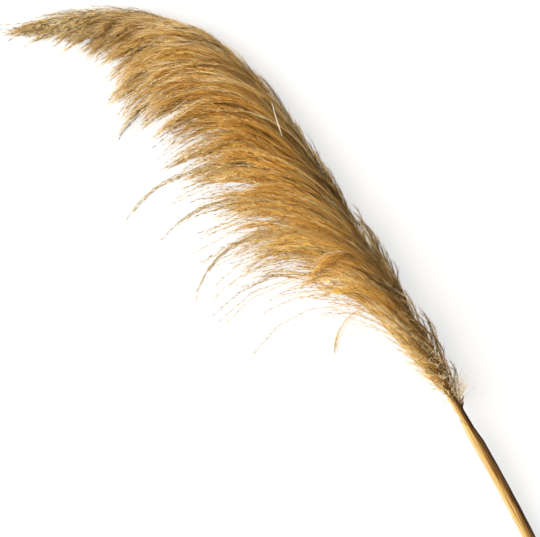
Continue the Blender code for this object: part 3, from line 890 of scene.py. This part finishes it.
def shade(paths, share, owner, lines, spread, random):
    """Tone and weathering along stalks: broad colour, each line's and stalk's own, and bare roots.

    spread holds how far lines differ, how far stalks do, and how much more they do where bare.
    """
    tone, grey = broad_colour(paths)
    bare = 1 - smooth(share / BARE_TO)
    end = smooth((share - STALK_END_FROM) / STALK_END_RUN)
    many = len(paths)
    own = random.normal(0, spread[0], lines)[owner] + random.normal(0, spread[1], many)
    streak = random.normal(0, 1, many) * spread[2]
    s, _ = along_and_across(paths)
    streaky = 1 + STREAKY * swell(s, STREAKY_AT, STREAKY_HALF)
    tone = tone + own[:, None] * streaky + streak[:, None] * bare - STALK_END_DARKER * end
    grey = grey + random.normal(0, GREY_SPREAD, lines)[owner, None] + STALK_END_GREYER * end
    return tone, grey


print("high up on the plume the strands differ", 1 + STREAKY, "times as much")

# %% [markdown]
# ## Locks, bristles and strays of a whorl
#
# Each of the three is made in the same steps: lines, stalks beside them, their shades, and what grows
# on them. A lock at the tip is thinner and opens like a brush, and one below the rachis, where nobody
# looks, has fewer tresses. One bristle in five is bleached, and these are the pale lines on the back.

# %% Locks, bristles and strays of a whorl
TRESSES, TRESSES_BELOW, TRESS_RINGS, TRESS_STALKS, BRISTLE_STALKS = 6, 3, 13, 3, 3
BELOW, FEWER_AT_TIP, FROM_TIP = -0.25, 0.3, 0.3
LOCK_RADIUS, TRESS_RADIUS, BRISTLE_RADIUS, STRAY_RADIUS = 6.0 * MM, 1.1 * MM, 0.9 * MM, 0.22 * MM
BACK_THINNER, TIP_THINNER = 0.4, 0.35
TIP_OPEN, TRESS_OPEN, BRISTLE_OPEN = 0.3, 0.25, 1.0
BRISTLES_PALE, PALE_TONE, STRAY_GREY = 0.2, 0.34, 0.25
TRESS_SPANS, TRESS_STALK_SPANS = ((0, 0.05), (0.8, 1)), ((0, 0.3), (0.8, 1))
BRISTLE_SPANS, STRAY_SPANS = ((0.0, 0.2), (0.7, 1.0)), ((0.0, 0.1), (0.9, 1.0))
# How far lines and stalks differ in tone, and how much more their bare roots do.
TRESS_SHADES, BRISTLE_SHADES, STRAY_SHADES = (0.13, 0.05, 0.15), (0.18, 0.06, 0.05), (0.1, 0.1, 0.1)


def lock_parts(whorl, random):
    """The parts of one whorl's locks."""
    lines, fan = lock_lines(whorl, random)
    tip = float(towards_tip(np.array((whorl + 0.5) * PITCH)))
    count = np.where(np.sin(fan) > BELOW, TRESSES, TRESSES_BELOW)
    count = np.rint(count * (1 - FEWER_AT_TIP * tip)).astype(int)
    radius = LOCK_RADIUS * (1 - BACK_THINNER * backward(fan)) * (1 - TIP_THINNER * tip)
    _, tresses, _ = spread_stalks(lines, count, radius, TIP_OPEN * tip, TRESS_SPANS, random, TRESS_RINGS)
    radius = np.full(len(tresses), TRESS_RADIUS)
    bundle = (tresses, TRESS_STALKS, radius, TRESS_OPEN, TRESS_STALK_SPANS)
    owner, paths, share = spread_stalks(*bundle, random)
    tone, grey = shade(paths, share, owner, len(tresses), TRESS_SHADES, random)
    return strands(paths, share, tone, grey, TIP_GROWTH if tip > FROM_TIP else LOCK_GROWTH, random)


def bristle_parts(whorl, random):
    """The parts of one whorl's bristles."""
    lines = bristle_lines(whorl, random)
    radius = np.full(BRISTLES, BRISTLE_RADIUS)
    bundle = (lines, BRISTLE_STALKS, radius, BRISTLE_OPEN, BRISTLE_SPANS)
    owner, paths, share = spread_stalks(*bundle, random)
    tone, grey = shade(paths, share, owner, BRISTLES, BRISTLE_SHADES, random)
    pale = (random.uniform(0, 1, BRISTLES) < BRISTLES_PALE)[owner, None]
    return strands(paths, share, tone + PALE_TONE * pale, grey, BRISTLE_GROWTH, random)


def stray_parts(whorl, random):
    """The parts of one whorl's strays, each a single stalk on its own line."""
    lines = stray_lines(whorl, random)
    owner, paths, share = spread_stalks(lines, 1, np.zeros(STRAYS), 0.0, STRAY_SPANS, random)
    tone, grey = shade(paths, share, owner, STRAYS, STRAY_SHADES, random)
    return strands(paths, share, tone, grey + STRAY_GREY, STRAY_GROWTH, random, STRAY_RADIUS)


print("up to", LOCKS * TRESSES * TRESS_STALKS, "lock stalks in a whorl")

# %% [markdown]
# ## Branches that stray
#
# Four branches have come away from the fringe and reach far out of it, thin and nearly straight, with
# their husks in a row like beads. They follow the same flow as the rest, each with a habit of its own.
# They are longer than a stalk can bend with its few rings, so each is made of stalks end to end.

# %% Branches that stray
# Each row: start, direction round the rachis, length, first lean, last heading and power. Distances
# are in millimetres, the direction in radians, and the lean and heading in degrees.
STRAY_BRANCHES = (
    (147.3, 1.18, 269.5, 11.3, 105.6, 1.83),
    (127.0, 1.6, 226, 14.1, 129.0, 1.38),
    (95.9, 0.23, 92.5, 15.4, 155.8, 0.84),
    (118.0, 1.52, 247.7, 7.1, 99.5, 1.61),
)
STRAY_STALKS, STRAY_PIECES, STRAY_BUNDLE = 5, 4, 2.6 * MM
STRAY_OPEN, STRAY_BRANCH_SPANS = 0.5, ((0, 0.1), (0.8, 1))
STRAY_END_DARKER, STRAY_END_GREYER = 0.03, 0.8
WHISKER_GROWTH = [
    (HAIR, 6.0 * MM, 14 * MM, 0.17 * MM, (1, 5), (0.0, 1.0), 0.0),
    (HUSK, 5.0 * MM, 8.5 * MM, 0.4 * MM, (3, 10), (0.0, 1.0), 0.0),
]


def whorl_of(distance):
    """The whorl that a distance along the rachis in millimetres falls in."""
    return int(distance * MM / PITCH)


def stray_branches(whorl, random):
    """The parts of the branches that stray from one whorl."""
    rows = [row for row in STRAY_BRANCHES if whorl_of(row[0]) == whorl]
    if not rows:
        return []
    start, fan, length, lean, end, power = np.array(rows).T
    start, length = start * MM, length * MM
    last = np.radians(end) - heading(start + AHEAD * length)
    lines = flow(start, fan, length, np.radians(lean), last, power)
    bundle = (lines, STRAY_STALKS, np.full(len(rows), STRAY_BUNDLE), STRAY_OPEN, STRAY_BRANCH_SPANS)
    owner, paths, share = spread_stalks(*bundle, random, STRAY_PIECES * (STALK_RINGS - 1) + 1)
    tone, grey = broad_colour(paths)
    tone, grey = tone - STRAY_END_DARKER * share, grey + STRAY_END_GREYER * share
    parts = []
    for piece in range(STRAY_PIECES):
        part = slice(piece * (STALK_RINGS - 1), (piece + 1) * (STALK_RINGS - 1) + 1)
        growth = WHISKER_GROWTH if piece == STRAY_PIECES - 1 else WHISKER_GROWTH[:1]
        parts += strands(paths[:, part], share[:, part], tone[:, part], grey[:, part], growth, random)
    return parts


print("stray branches leave whorls", [whorl_of(row[0]) + 1 for row in STRAY_BRANCHES])

# %% [markdown]
# ## Pale stalks over the front
#
# Two bare, bleached stalks rise from the rachis and lie over the floss, and catch the eye. One is short
# and stiff, and the other is long and hangs across the plume. Each is one smooth curve that starts
# towards its bend and ends coming from it, as a stalk does that its own weight bows.

# %% Pale stalks over the front
# Each row: foot, bend and end of a stalk, as distances along the rachis, across it and up from it,
# then its radius, all in millimetres, and its tone.
PALE_STALKS = (
    ((287, 7, 34), (304, 3.5, 55), (316, -2.2, 47), 0.55, 0.98),
    ((164, 8, 22), (192, 34, 84), (161, 62, 50), 0.34, 0.85),
)
PALE_THINNER, PALE_GREY = 0.6, 0.75


def pale_stalks(whorl):
    """The parts of the bleached stalks that rise from one whorl."""
    parts = []
    share = np.linspace(0, 1, STALK_RINGS)[:, None]
    light = np.ones((1, STALK_RINGS))
    for foot, bend, end, radius, tone in PALE_STALKS:
        if whorl_of(foot[0]) != whorl:
            continue
        foot, bend, end = np.array((foot, bend, end)) * MM
        points = (1 - share) ** 2 * foot + 2 * share * (1 - share) * bend + share**2 * end
        radii = radius * MM * (1 - PALE_THINNER * share.T)
        parts.append(copy_stalks(place(*points.T)[None], radii, tone * light, PALE_GREY * light))
    return parts


print(len(PALE_STALKS), "pale stalks")

# %% [markdown]
# ## Tuft at the foot
#
# Where the plume begins, the lowest branches are short, and their floss stands out at the back as a
# woolly tuft of fine pale hairs. Dried curls of it cling to the front. Each curl is a stalk wound up
# into part of a ring, and its foot goes down into the floss, so that it doesn't float.

# %% Tuft at the foot
TUFT_HAIRS, TUFT_AT, TUFT_LENGTH, TUFT_RADIUS = 130, (-3, 15), (4 * MM, 16 * MM), 0.13 * MM
TUFT_FAN_SPREAD, TUFT_LIFT, TUFT_BEND, TUFT_FORWARD = 0.5, (35, 95), 0.35, 0.25
TUFT_TONES, TUFT_GREY = (0.6, 1.0), 0.8
CURLS, CURL_AT, CURL_ACROSS, CURL_UP = 34, (6, 60), (-8, 7), (19, 26)
CURL_RADIUS, CURL_THICK, CURL_TURN = (1.0 * MM, 3.4 * MM), 0.24 * MM, (0.8, 3.6)
CURL_WIDEN, CURL_WIDEST, CURL_NARROW, CURL_ROOT = 3, 1.3, 0.6, 9 * MM
CURL_TONES, CURL_GREY = (0.7, 1.0), 0.6


def tuft_hairs(random):
    """Fine pale hairs that stand out at the back of the foot."""
    many = TUFT_HAIRS
    s = random.uniform(*TUFT_AT, many) * MM
    left, above = line_sides(s)
    along = np.cross(left, above)
    out = random.normal(math.pi, TUFT_FAN_SPREAD, many)
    aside = np.cos(out)[:, None] * left + np.sin(out)[:, None] * above
    foot = line_point(s) + aside * CULM_RADIUS
    lift = np.radians(random.uniform(*TUFT_LIFT, many))[:, None]
    way = np.cos(lift) * along + np.sin(lift) * aside
    t = np.linspace(0, 1, STALK_RINGS)[None, :, None]
    length = random.uniform(*TUFT_LENGTH, many)[:, None, None]
    bend = random.normal(0, TUFT_BEND, (many, 1, 3)) + TUFT_FORWARD * along[:, None]
    hairs = foot[:, None] + length * (way[:, None] * t + bend * t**2)
    light = np.ones((many, STALK_RINGS))
    tone = random.uniform(*TUFT_TONES, (many, 1)) * light
    return [copy_stalks(hairs, TUFT_RADIUS * light, tone, TUFT_GREY * light)]


def foot_curls(random):
    """Dried curls that lie over the foot."""
    many = CURLS
    t = np.linspace(0, 1, STALK_RINGS)[None]
    s = random.uniform(*CURL_AT, many) * MM
    across, up = random.uniform(*CURL_ACROSS, many) * MM, random.uniform(*CURL_UP, many) * MM
    middle = place(s, across, up)
    radius = random.uniform(*CURL_RADIUS, many)[:, None]
    turn = random.uniform(0, 2 * math.pi, (many, 1)) + random.uniform(*CURL_TURN, (many, 1)) * t
    spiral = radius * np.minimum(CURL_WIDEN * t, CURL_WIDEST - CURL_NARROW * t)
    light = np.ones((many, STALK_RINGS))
    rise = -CURL_ROOT * (1 - t) ** 3 * light
    curl = np.stack([spiral * np.cos(turn), spiral * np.sin(turn), rise], -1)
    tone = random.uniform(*CURL_TONES, (many, 1)) * light
    return [copy_stalks(middle[:, None] + curl, CURL_THICK * light, tone, CURL_GREY * light)]


print(TUFT_HAIRS, "hairs in the tuft and", CURLS, "curls")

# %% [markdown]
# ## Dressing the whorls
#
# A whorl's piece is its locks, bristles and strays joined in one mesh, which takes the place of the
# coarse node of the same number. Every whorl has a seed of its own, so each run gives the same plume.

# %% Dressing the whorls
FIRST_SEED = 100


def dress(whorl):
    """One whorl's piece, which replaces its coarse node."""
    random = np.random.default_rng(FIRST_SEED + whorl)
    parts = lock_parts(whorl, random) + bristle_parts(whorl, random) + stray_parts(whorl, random)
    parts += stray_branches(whorl, random) + pale_stalks(whorl)
    if whorl == 0:
        parts += tuft_hairs(random) + foot_curls(random)
    made = join_parts(f"plume_whorl_{whorl + 1:02d}", parts, floss)
    node = f"spray_whorl_{whorl + 1:02d}"
    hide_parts(node)
    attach(made, "root")
    return made


sizes = [len(dress(whorl).data.polygons) for whorl in range(WHORLS)]
print("floss:", sum(sizes), "triangles, at most", max(sizes), "in a piece")

# %% [markdown]
# ## Straw
#
# The stem and its leaf sheath are dried straw: a hard, satin skin over long fibres. Round the stem it
# goes from pale yellow on the side towards the lamp to dark brown on the side away from it, partly
# its own weathered browning and partly painted shade, and the colour runs in streaks along the
# fibres. The pieces carry a map with the place round the stem and the place along it, so one noise,
# stretched along, gives the fibres, and one ramp round the stem gives the browning and the painted
# shade.
#
# Real fibres are about 0.15 mm wide, too fine for the render. They are drawn about 0.9 mm wide, 26
# round the stem, and about 45 mm long.

# %% Straw
MAP_LENGTH = 100 * MM
FIBRES_ROUND, FIBRES_ALONG, FIBRE_DETAIL = 26, 2.2, 4
FIBRE_SHIFT = 0.42  # of a turn, the whole range over which the fibres shift the colour
FIBRE_RELIEF, FIBRE_DEPTH = 0.5, 0.4 * MM


def straw_with_painted_shade(name, roughness, stops):
    """Dried straw whose ramp runs round the stem from its underside, pale towards the lamp and dark
    brown away from it: partly its own browning, partly painted shade.
    """
    made, tree = new_material(name)
    uv_map = add_node(tree, "ShaderNodeUVMap", uv_map="round_and_along")
    split = add_node(tree, "ShaderNodeSeparateXYZ", {0: uv_map.outputs[0]})
    round_it = add_node(tree, "ShaderNodeMath", {0: split.outputs[0]}, operation="FRACT")
    scale = (FIBRES_ROUND, FIBRES_ALONG, 1)
    stretch = add_node(tree, "ShaderNodeMapping", {"Vector": uv_map.outputs[0], "Scale": scale})
    noise = {"Vector": stretch.outputs[0], "Scale": 1, "Detail": FIBRE_DETAIL}
    fibres = add_node(tree, "ShaderNodeTexNoise", noise)
    about_zero = {0: fibres.outputs[0], 1: FIBRE_SHIFT, 2: -FIBRE_SHIFT / 2}
    shift = add_node(tree, "ShaderNodeMath", about_zero, operation="MULTIPLY_ADD")
    places = {0: round_it.outputs[0], 1: shift.outputs[0]}
    where = add_node(tree, "ShaderNodeMath", places, operation="ADD")
    # The ramp round the stem is partly the straw's browning and partly painted shade, darkest on the
    # side away from the lamp.
    colour = add_node(tree, "ShaderNodeValToRGB", {0: where.outputs[0]}, stops)
    relief = {"Height": fibres.outputs[0], "Strength": FIBRE_RELIEF, "Distance": FIBRE_DEPTH}
    bump = add_node(tree, "ShaderNodeBump", relief)
    shader = add_node(
        tree,
        "ShaderNodeBsdfPrincipled",
        {
            "Base Color": colour.outputs[0],
            "Normal": bump.outputs[0],
            "Roughness": roughness,
            "IOR": 1.5,
            "Specular IOR Level": 0.12,
        },
    )
    add_node(tree, "ShaderNodeOutputMaterial", {0: shader.outputs[0]})
    print(name, "has", len(tree.nodes), "nodes")
    return made


# The stops run from the underside over the photograph's left to its right.
# Pale towards the lamp and dark brown away from it: partly the straw's own browning, partly painted
# shade.
culm_straw_painted_shade = straw_with_painted_shade(
    "dried_culm_straw",
    0.55,
    [
        (0.1, "#6e4520"),
        (0.3, "#d2ba84"),
        (0.4, "#b9975a"),
        (0.48, "#906b34"),
        (0.53, "#4f3012"),
        (0.56, "#6b4822"),
        (0.6, "#2c1607"),
    ],
)
sheath_straw_painted_shade = straw_with_painted_shade(
    "dried_sheath_straw",
    0.52,
    [
        (0.1, "#6e4520"),
        (0.3, "#d6bf8c"),
        (0.4, "#c2a062"),
        (0.48, "#a07b41"),
        (0.52, "#724c1f"),
        (0.55, "#41250e"),
        (0.58, "#8a6638"),
        (0.62, "#351c0a"),
    ],
)

# %% [markdown]
# ## Laying a piece along the line
#
# Stem and sheath are modelled straight along X, and then laid along the plume's line, as a straight
# cane is steamed and bent. The same step writes the map that the straw reads.

# %% Laying a piece along the line
SMOOTH_BELOW = math.radians(40)


def lay_along(obj, radius):
    """Bends a straight model along the line, and maps it round and along."""
    mesh = obj.data
    s, across, up = mesh_points(mesh).T
    left, above = line_sides(s)
    size = radius(s)
    laid = line_point(s) + left * (across * size)[:, None] + above * (up * size)[:, None]
    laid[:, 2] = np.maximum(laid[:, 2], 0)
    mesh.vertices.foreach_set("co", laid.ravel())
    round_it = (np.arctan2(up, across) / (2 * math.pi) + 0.25) % 1
    layer = mesh.uv_layers.new(name="round_and_along")
    for face in mesh.polygons:
        corners = round_it[list(face.vertices)]
        corners = corners + (corners < 0.5) * (np.ptp(corners) > 0.5)
        for loop, corner, vertex in zip(face.loop_indices, corners, face.vertices):
            layer.data[loop].uv = (corner, s[vertex] / MAP_LENGTH)
    mesh.update()


def finish(obj, node, material):
    """Smooths a piece, gives it its material and body, and hides the coarse node that it replaces."""
    deselect_all()
    obj.select_set(True)
    bpy.context.view_layer.objects.active = obj
    bpy.ops.object.shade_smooth_by_angle(angle=SMOOTH_BELOW)
    obj.data.materials.append(material)
    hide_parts(node)
    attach(obj, "root")
    print(obj.name, "has", len(obj.data.polygons), "faces")


# %% [markdown]
# ## Stem and rachis
#
# The stem is one tapered stalk from its cut end to the tip of the rachis: a circle extruded ring by
# ring with a radius of 1, which gets its real taper as it is laid. A raised scar marks where the plume
# begins. The cut end is inset, and its pith pushed in, because the soft pith shrinks as it dries.

# %% Stem and rachis
STEM_SIDES = 24
STEM_RINGS, STEM_TO = 26, -12 * MM
RACHIS_RINGS, RACHIS_FROM = 40, 6 * MM
SCAR = ((-9 * MM, 1.0), (-6.5 * MM, 1.1), (-4 * MM, 1.14), (-1.5 * MM, 1.0))  # place and radius
PITH_INSET, PITH_DEPTH = 0.3, 1.2 * MM

deselect_all()
bpy.ops.mesh.primitive_circle_add(
    vertices=STEM_SIDES,
    radius=1,
    fill_type="NGON",
    location=(-STEM_LENGTH, 0, 0),
    rotation=(0, math.pi / 2, 0),
)
bpy.ops.object.transform_apply(location=True, rotation=True)
stem = bpy.context.object
stem.name = "plume_stem"
bpy.ops.object.mode_set(mode="EDIT")
plain = [
    np.linspace(-STEM_LENGTH, STEM_TO, STEM_RINGS),
    np.linspace(RACHIS_FROM, RACHIS_LENGTH, RACHIS_RINGS),
]
rings = sorted([(s, 1.0) for s in np.concatenate(plain)] + list(SCAR))
for (here, here_size), (there, size) in zip(rings, rings[1:]):
    bpy.ops.mesh.extrude_region_move(TRANSFORM_OT_translate={"value": (float(there - here), 0, 0)})
    change = size / here_size
    bpy.ops.transform.resize(value=(1, change, change), center_override=(float(there), 0, 0))
bpy.ops.mesh.select_all(action="DESELECT")
bpy.ops.object.mode_set(mode="OBJECT")
cut = min(stem.data.polygons, key=lambda face: face.center.x)
cut.select = True
bpy.ops.object.mode_set(mode="EDIT")
bpy.ops.mesh.inset(thickness=PITH_INSET)
bpy.ops.transform.translate(value=(PITH_DEPTH, 0, 0))
bpy.ops.object.mode_set(mode="OBJECT")
point_outwards()
lay_along(stem, culm_radius)
finish(stem, "culm", culm_straw_painted_shade)

# %% [markdown]
# ## Leaf sheath
#
# The sheath is one leaf rolled round the stem, with one edge lapped over the other, so it is made as
# one: a flat sheet gets its thickness from a Solidify modifier, its mouth is thinned, and then it is
# rolled up and laid along the line. The lapped edge is the fine dark seam that runs down the stem.

# %% Leaf sheath
SHEATH_GRID = (48, 56)
SHEATH_GAP, SHEATH_WALL, SHEATH_LOOSE = 0.3 * MM, 0.6 * MM, 0.4 * MM
SHEATH_LAP, LAP_SIDE = math.radians(75), math.radians(38)
ROLL = 2 * math.pi + SHEATH_LAP
MOUTH_HIGH, MOUTH_LOW, MOUTH_HUG = -15 * MM, -29 * MM, 13 * MM
MOUTH_SIDE, MOUTH_CLOSER, MOUTH_THINNER, SLANT_POWER = math.radians(170), 0.6, 0.7, 3
EDGE_THIN, EDGE_RUN = 0.35, math.radians(14)
RIPPLE, RIPPLES, RIPPLE_TWIST = 0.08 * MM, 9, 30

sheath_length = MOUTH_LOW + STEM_LENGTH
deselect_all()
bpy.ops.mesh.primitive_grid_add(
    x_subdivisions=SHEATH_GRID[0],
    y_subdivisions=SHEATH_GRID[1],
    size=1,
    location=(MOUTH_LOW - sheath_length / 2, ROLL / 2, 0),
)
sheath = bpy.context.object
sheath.name = "plume_sheath"
sheath.scale = (sheath_length, ROLL, 1)
bpy.ops.object.transform_apply(location=True, scale=True)
wall = sheath.modifiers.new("wall", "SOLIDIFY")
wall.thickness = SHEATH_WALL
wall.offset = 1
bpy.ops.object.modifier_apply(modifier=wall.name)


def roll_up(obj):
    """Rolls the sheet up round X: its Y is the angle, and its height becomes distance outwards."""
    middle, angle, height = mesh_points(obj.data).T
    turn = angle + LAP_SIDE
    mouth = smooth((middle - MOUTH_LOW) / MOUTH_HUG + 1)
    slant = (MOUTH_HIGH - MOUTH_LOW) * 0.5 * (1 - np.cos(turn - MOUTH_SIDE))
    share = (middle + STEM_LENGTH) / sheath_length
    s = middle + slant * share**SLANT_POWER
    lapped = smooth((angle - SHEATH_LAP) / (2 * math.pi - SHEATH_LAP)) * (SHEATH_WALL + SHEATH_GAP)
    inner = culm_radius(s) + SHEATH_GAP * (1 - MOUTH_CLOSER * mouth) + SHEATH_LOOSE * (1 - mouth)
    edge = smooth(np.minimum(angle, ROLL - angle) / EDGE_RUN)
    thick = height * (1 - MOUTH_THINNER * mouth) * (EDGE_THIN + (1 - EDGE_THIN) * edge)
    ripple = RIPPLE * np.sin(RIPPLES * turn + RIPPLE_TWIST * s / MAP_LENGTH) * (1 - mouth)
    radius = inner + lapped * (1 - MOUTH_CLOSER * mouth) + thick + ripple
    rolled = np.stack([s, radius * np.cos(turn), radius * np.sin(turn)], -1)
    obj.data.vertices.foreach_set("co", rolled.ravel())


roll_up(sheath)
lay_along(sheath, np.ones_like)
point_outwards()
finish(sheath, "leaf_sheath", sheath_straw_painted_shade)

# %% [markdown]
# ## Bract stubs
#
# The papery leaves that wrapped the young plume have broken off and left a few dark dried stubs at its
# foot. Each is a blunt cone, flattened, sunk into the stem by its foot and leaning away from it. The
# stubs are dead leaf, brown and matt, mottled in spots about 1 mm across.

# %% Bract stubs
BRACT_SIDES, BRACT_WIDE, BRACT_POINT = 10, 1.5 * MM, 0.4 * MM
BRACT_FLAT, BRACT_SUNK = 0.4, 0.8
MOTTLES_PER_METRE = 900
# Each row: place along the line in millimetres, direction round it and lean away from it in degrees,
# and length in millimetres.
BRACTS = ((-4, 180, 48, 9), (-2, 150, 38, 7), (-6, 205, 58, 6))

bract, tree = new_material("dried_bract")
spots = add_node(tree, "ShaderNodeTexCoord").outputs["Object"]
mottle = add_node(tree, "ShaderNodeTexNoise", {"Vector": spots, "Scale": MOTTLES_PER_METRE})
browns = [(0.35, "#2c1a0c"), (0.65, "#7d5526")]
colour = add_node(tree, "ShaderNodeValToRGB", {0: mottle.outputs[0]}, browns)
skin = {"Base Color": colour.outputs[0], "Roughness": 0.6}
shader = add_node(tree, "ShaderNodeBsdfPrincipled", skin)
add_node(tree, "ShaderNodeOutputMaterial", {0: shader.outputs[0]})

stubs = []
for s, turn, lean, length in BRACTS:
    left, above = (v[0] for v in line_sides(np.array([s * MM])))
    aside = left * math.cos(math.radians(turn)) + above * math.sin(math.radians(turn))
    along = np.cross(left, above)
    way = along * math.cos(math.radians(lean)) + aside * math.sin(math.radians(lean))
    foot = line_point(np.array([s * MM]))[0] + aside * CULM_RADIUS * BRACT_SUNK
    deselect_all()
    bpy.ops.mesh.primitive_cone_add(
        vertices=BRACT_SIDES, radius1=BRACT_WIDE, radius2=BRACT_POINT, depth=length * MM
    )
    stub = bpy.context.object
    bpy.ops.object.mode_set(mode="EDIT")
    bpy.ops.transform.resize(value=(1, BRACT_FLAT, 1), center_override=(0, 0, 0))
    bpy.ops.mesh.select_all(action="SELECT")
    bpy.ops.mesh.subdivide(number_cuts=1)
    bpy.ops.object.mode_set(mode="OBJECT")
    stub.rotation_mode = "QUATERNION"
    stub.rotation_quaternion = mathutils.Vector(way).to_track_quat("Z", "Y")
    stub.location = foot + way * length * MM / 2
    bpy.ops.object.transform_apply(location=True, rotation=True)
    stubs.append(stub)
deselect_all()
for stub in stubs:
    stub.select_set(True)
bpy.context.view_layer.objects.active = stubs[0]
bpy.ops.object.join()
stubs[0].name = "plume_bracts"
finish(stubs[0], "culm", bract)

# %% [markdown]
# ## Floor
#
# The plume lies on matt white paper, which the photograph shows as pure white with hardly a shadow.
# Paper that is lit until it is white gives a dark shadow, and paper much brighter than white eats into
# the thin hairs in front of it. So the paper is grey and gives most of its light itself, and the two
# together come out only just white.

# %% Floor
FLOOR_SIZE = 6
PAPER_GLOW = 0.68

deselect_all()
bpy.ops.mesh.primitive_plane_add(size=FLOOR_SIZE, location=(0, 0, 0))
floor = bpy.context.object
floor.name = "floor"
paper, tree = new_material("white_paper")
shader = add_node(
    tree,
    "ShaderNodeBsdfPrincipled",
    {
        "Base Color": linear("#858585"),
        "Roughness": 0.9,
        "Emission Color": linear("#ffffff"),
        "Emission Strength": PAPER_GLOW,
    },
)
add_node(tree, "ShaderNodeOutputMaterial", {0: shader.outputs[0]})
floor.data.materials.append(paper)
print("the floor is", FLOOR_SIZE, "m wide")

# %% [markdown]
# ## Light
#
# One large soft lamp stands on the photograph's left, which is +X +Y here, so the drooping side is
# bright and the back is in shade. White light from all round fills the shade.

# %% Light
KEY_PLACE, KEY_SIZE, KEY_POWER = (0.95, 0.95, 1.75), 1.9, 88
SKY_STRENGTH = 0.5

key_data = bpy.data.lights.new("key", "AREA")
key_data.size, key_data.energy, key_data.color = KEY_SIZE, KEY_POWER, linear("#fff8ee")[:3]
key = bpy.data.objects.new("key", key_data)
key.location = KEY_PLACE
key.rotation_mode = "QUATERNION"
key.rotation_quaternion = (-key.location).to_track_quat("-Z", "Y")
bpy.context.scene.collection.objects.link(key)

world = bpy.data.worlds.new("studio")
world.use_nodes = True
world.node_tree.nodes["Background"].inputs[0].default_value = linear("#ffffff")
world.node_tree.nodes["Background"].inputs[1].default_value = SKY_STRENGTH
bpy.context.scene.world = world

view = bpy.context.scene.view_settings
view.view_transform = "Standard"
view.look = "None"
print("the lamp is", round(key.location.length, 2), "m from the plume")
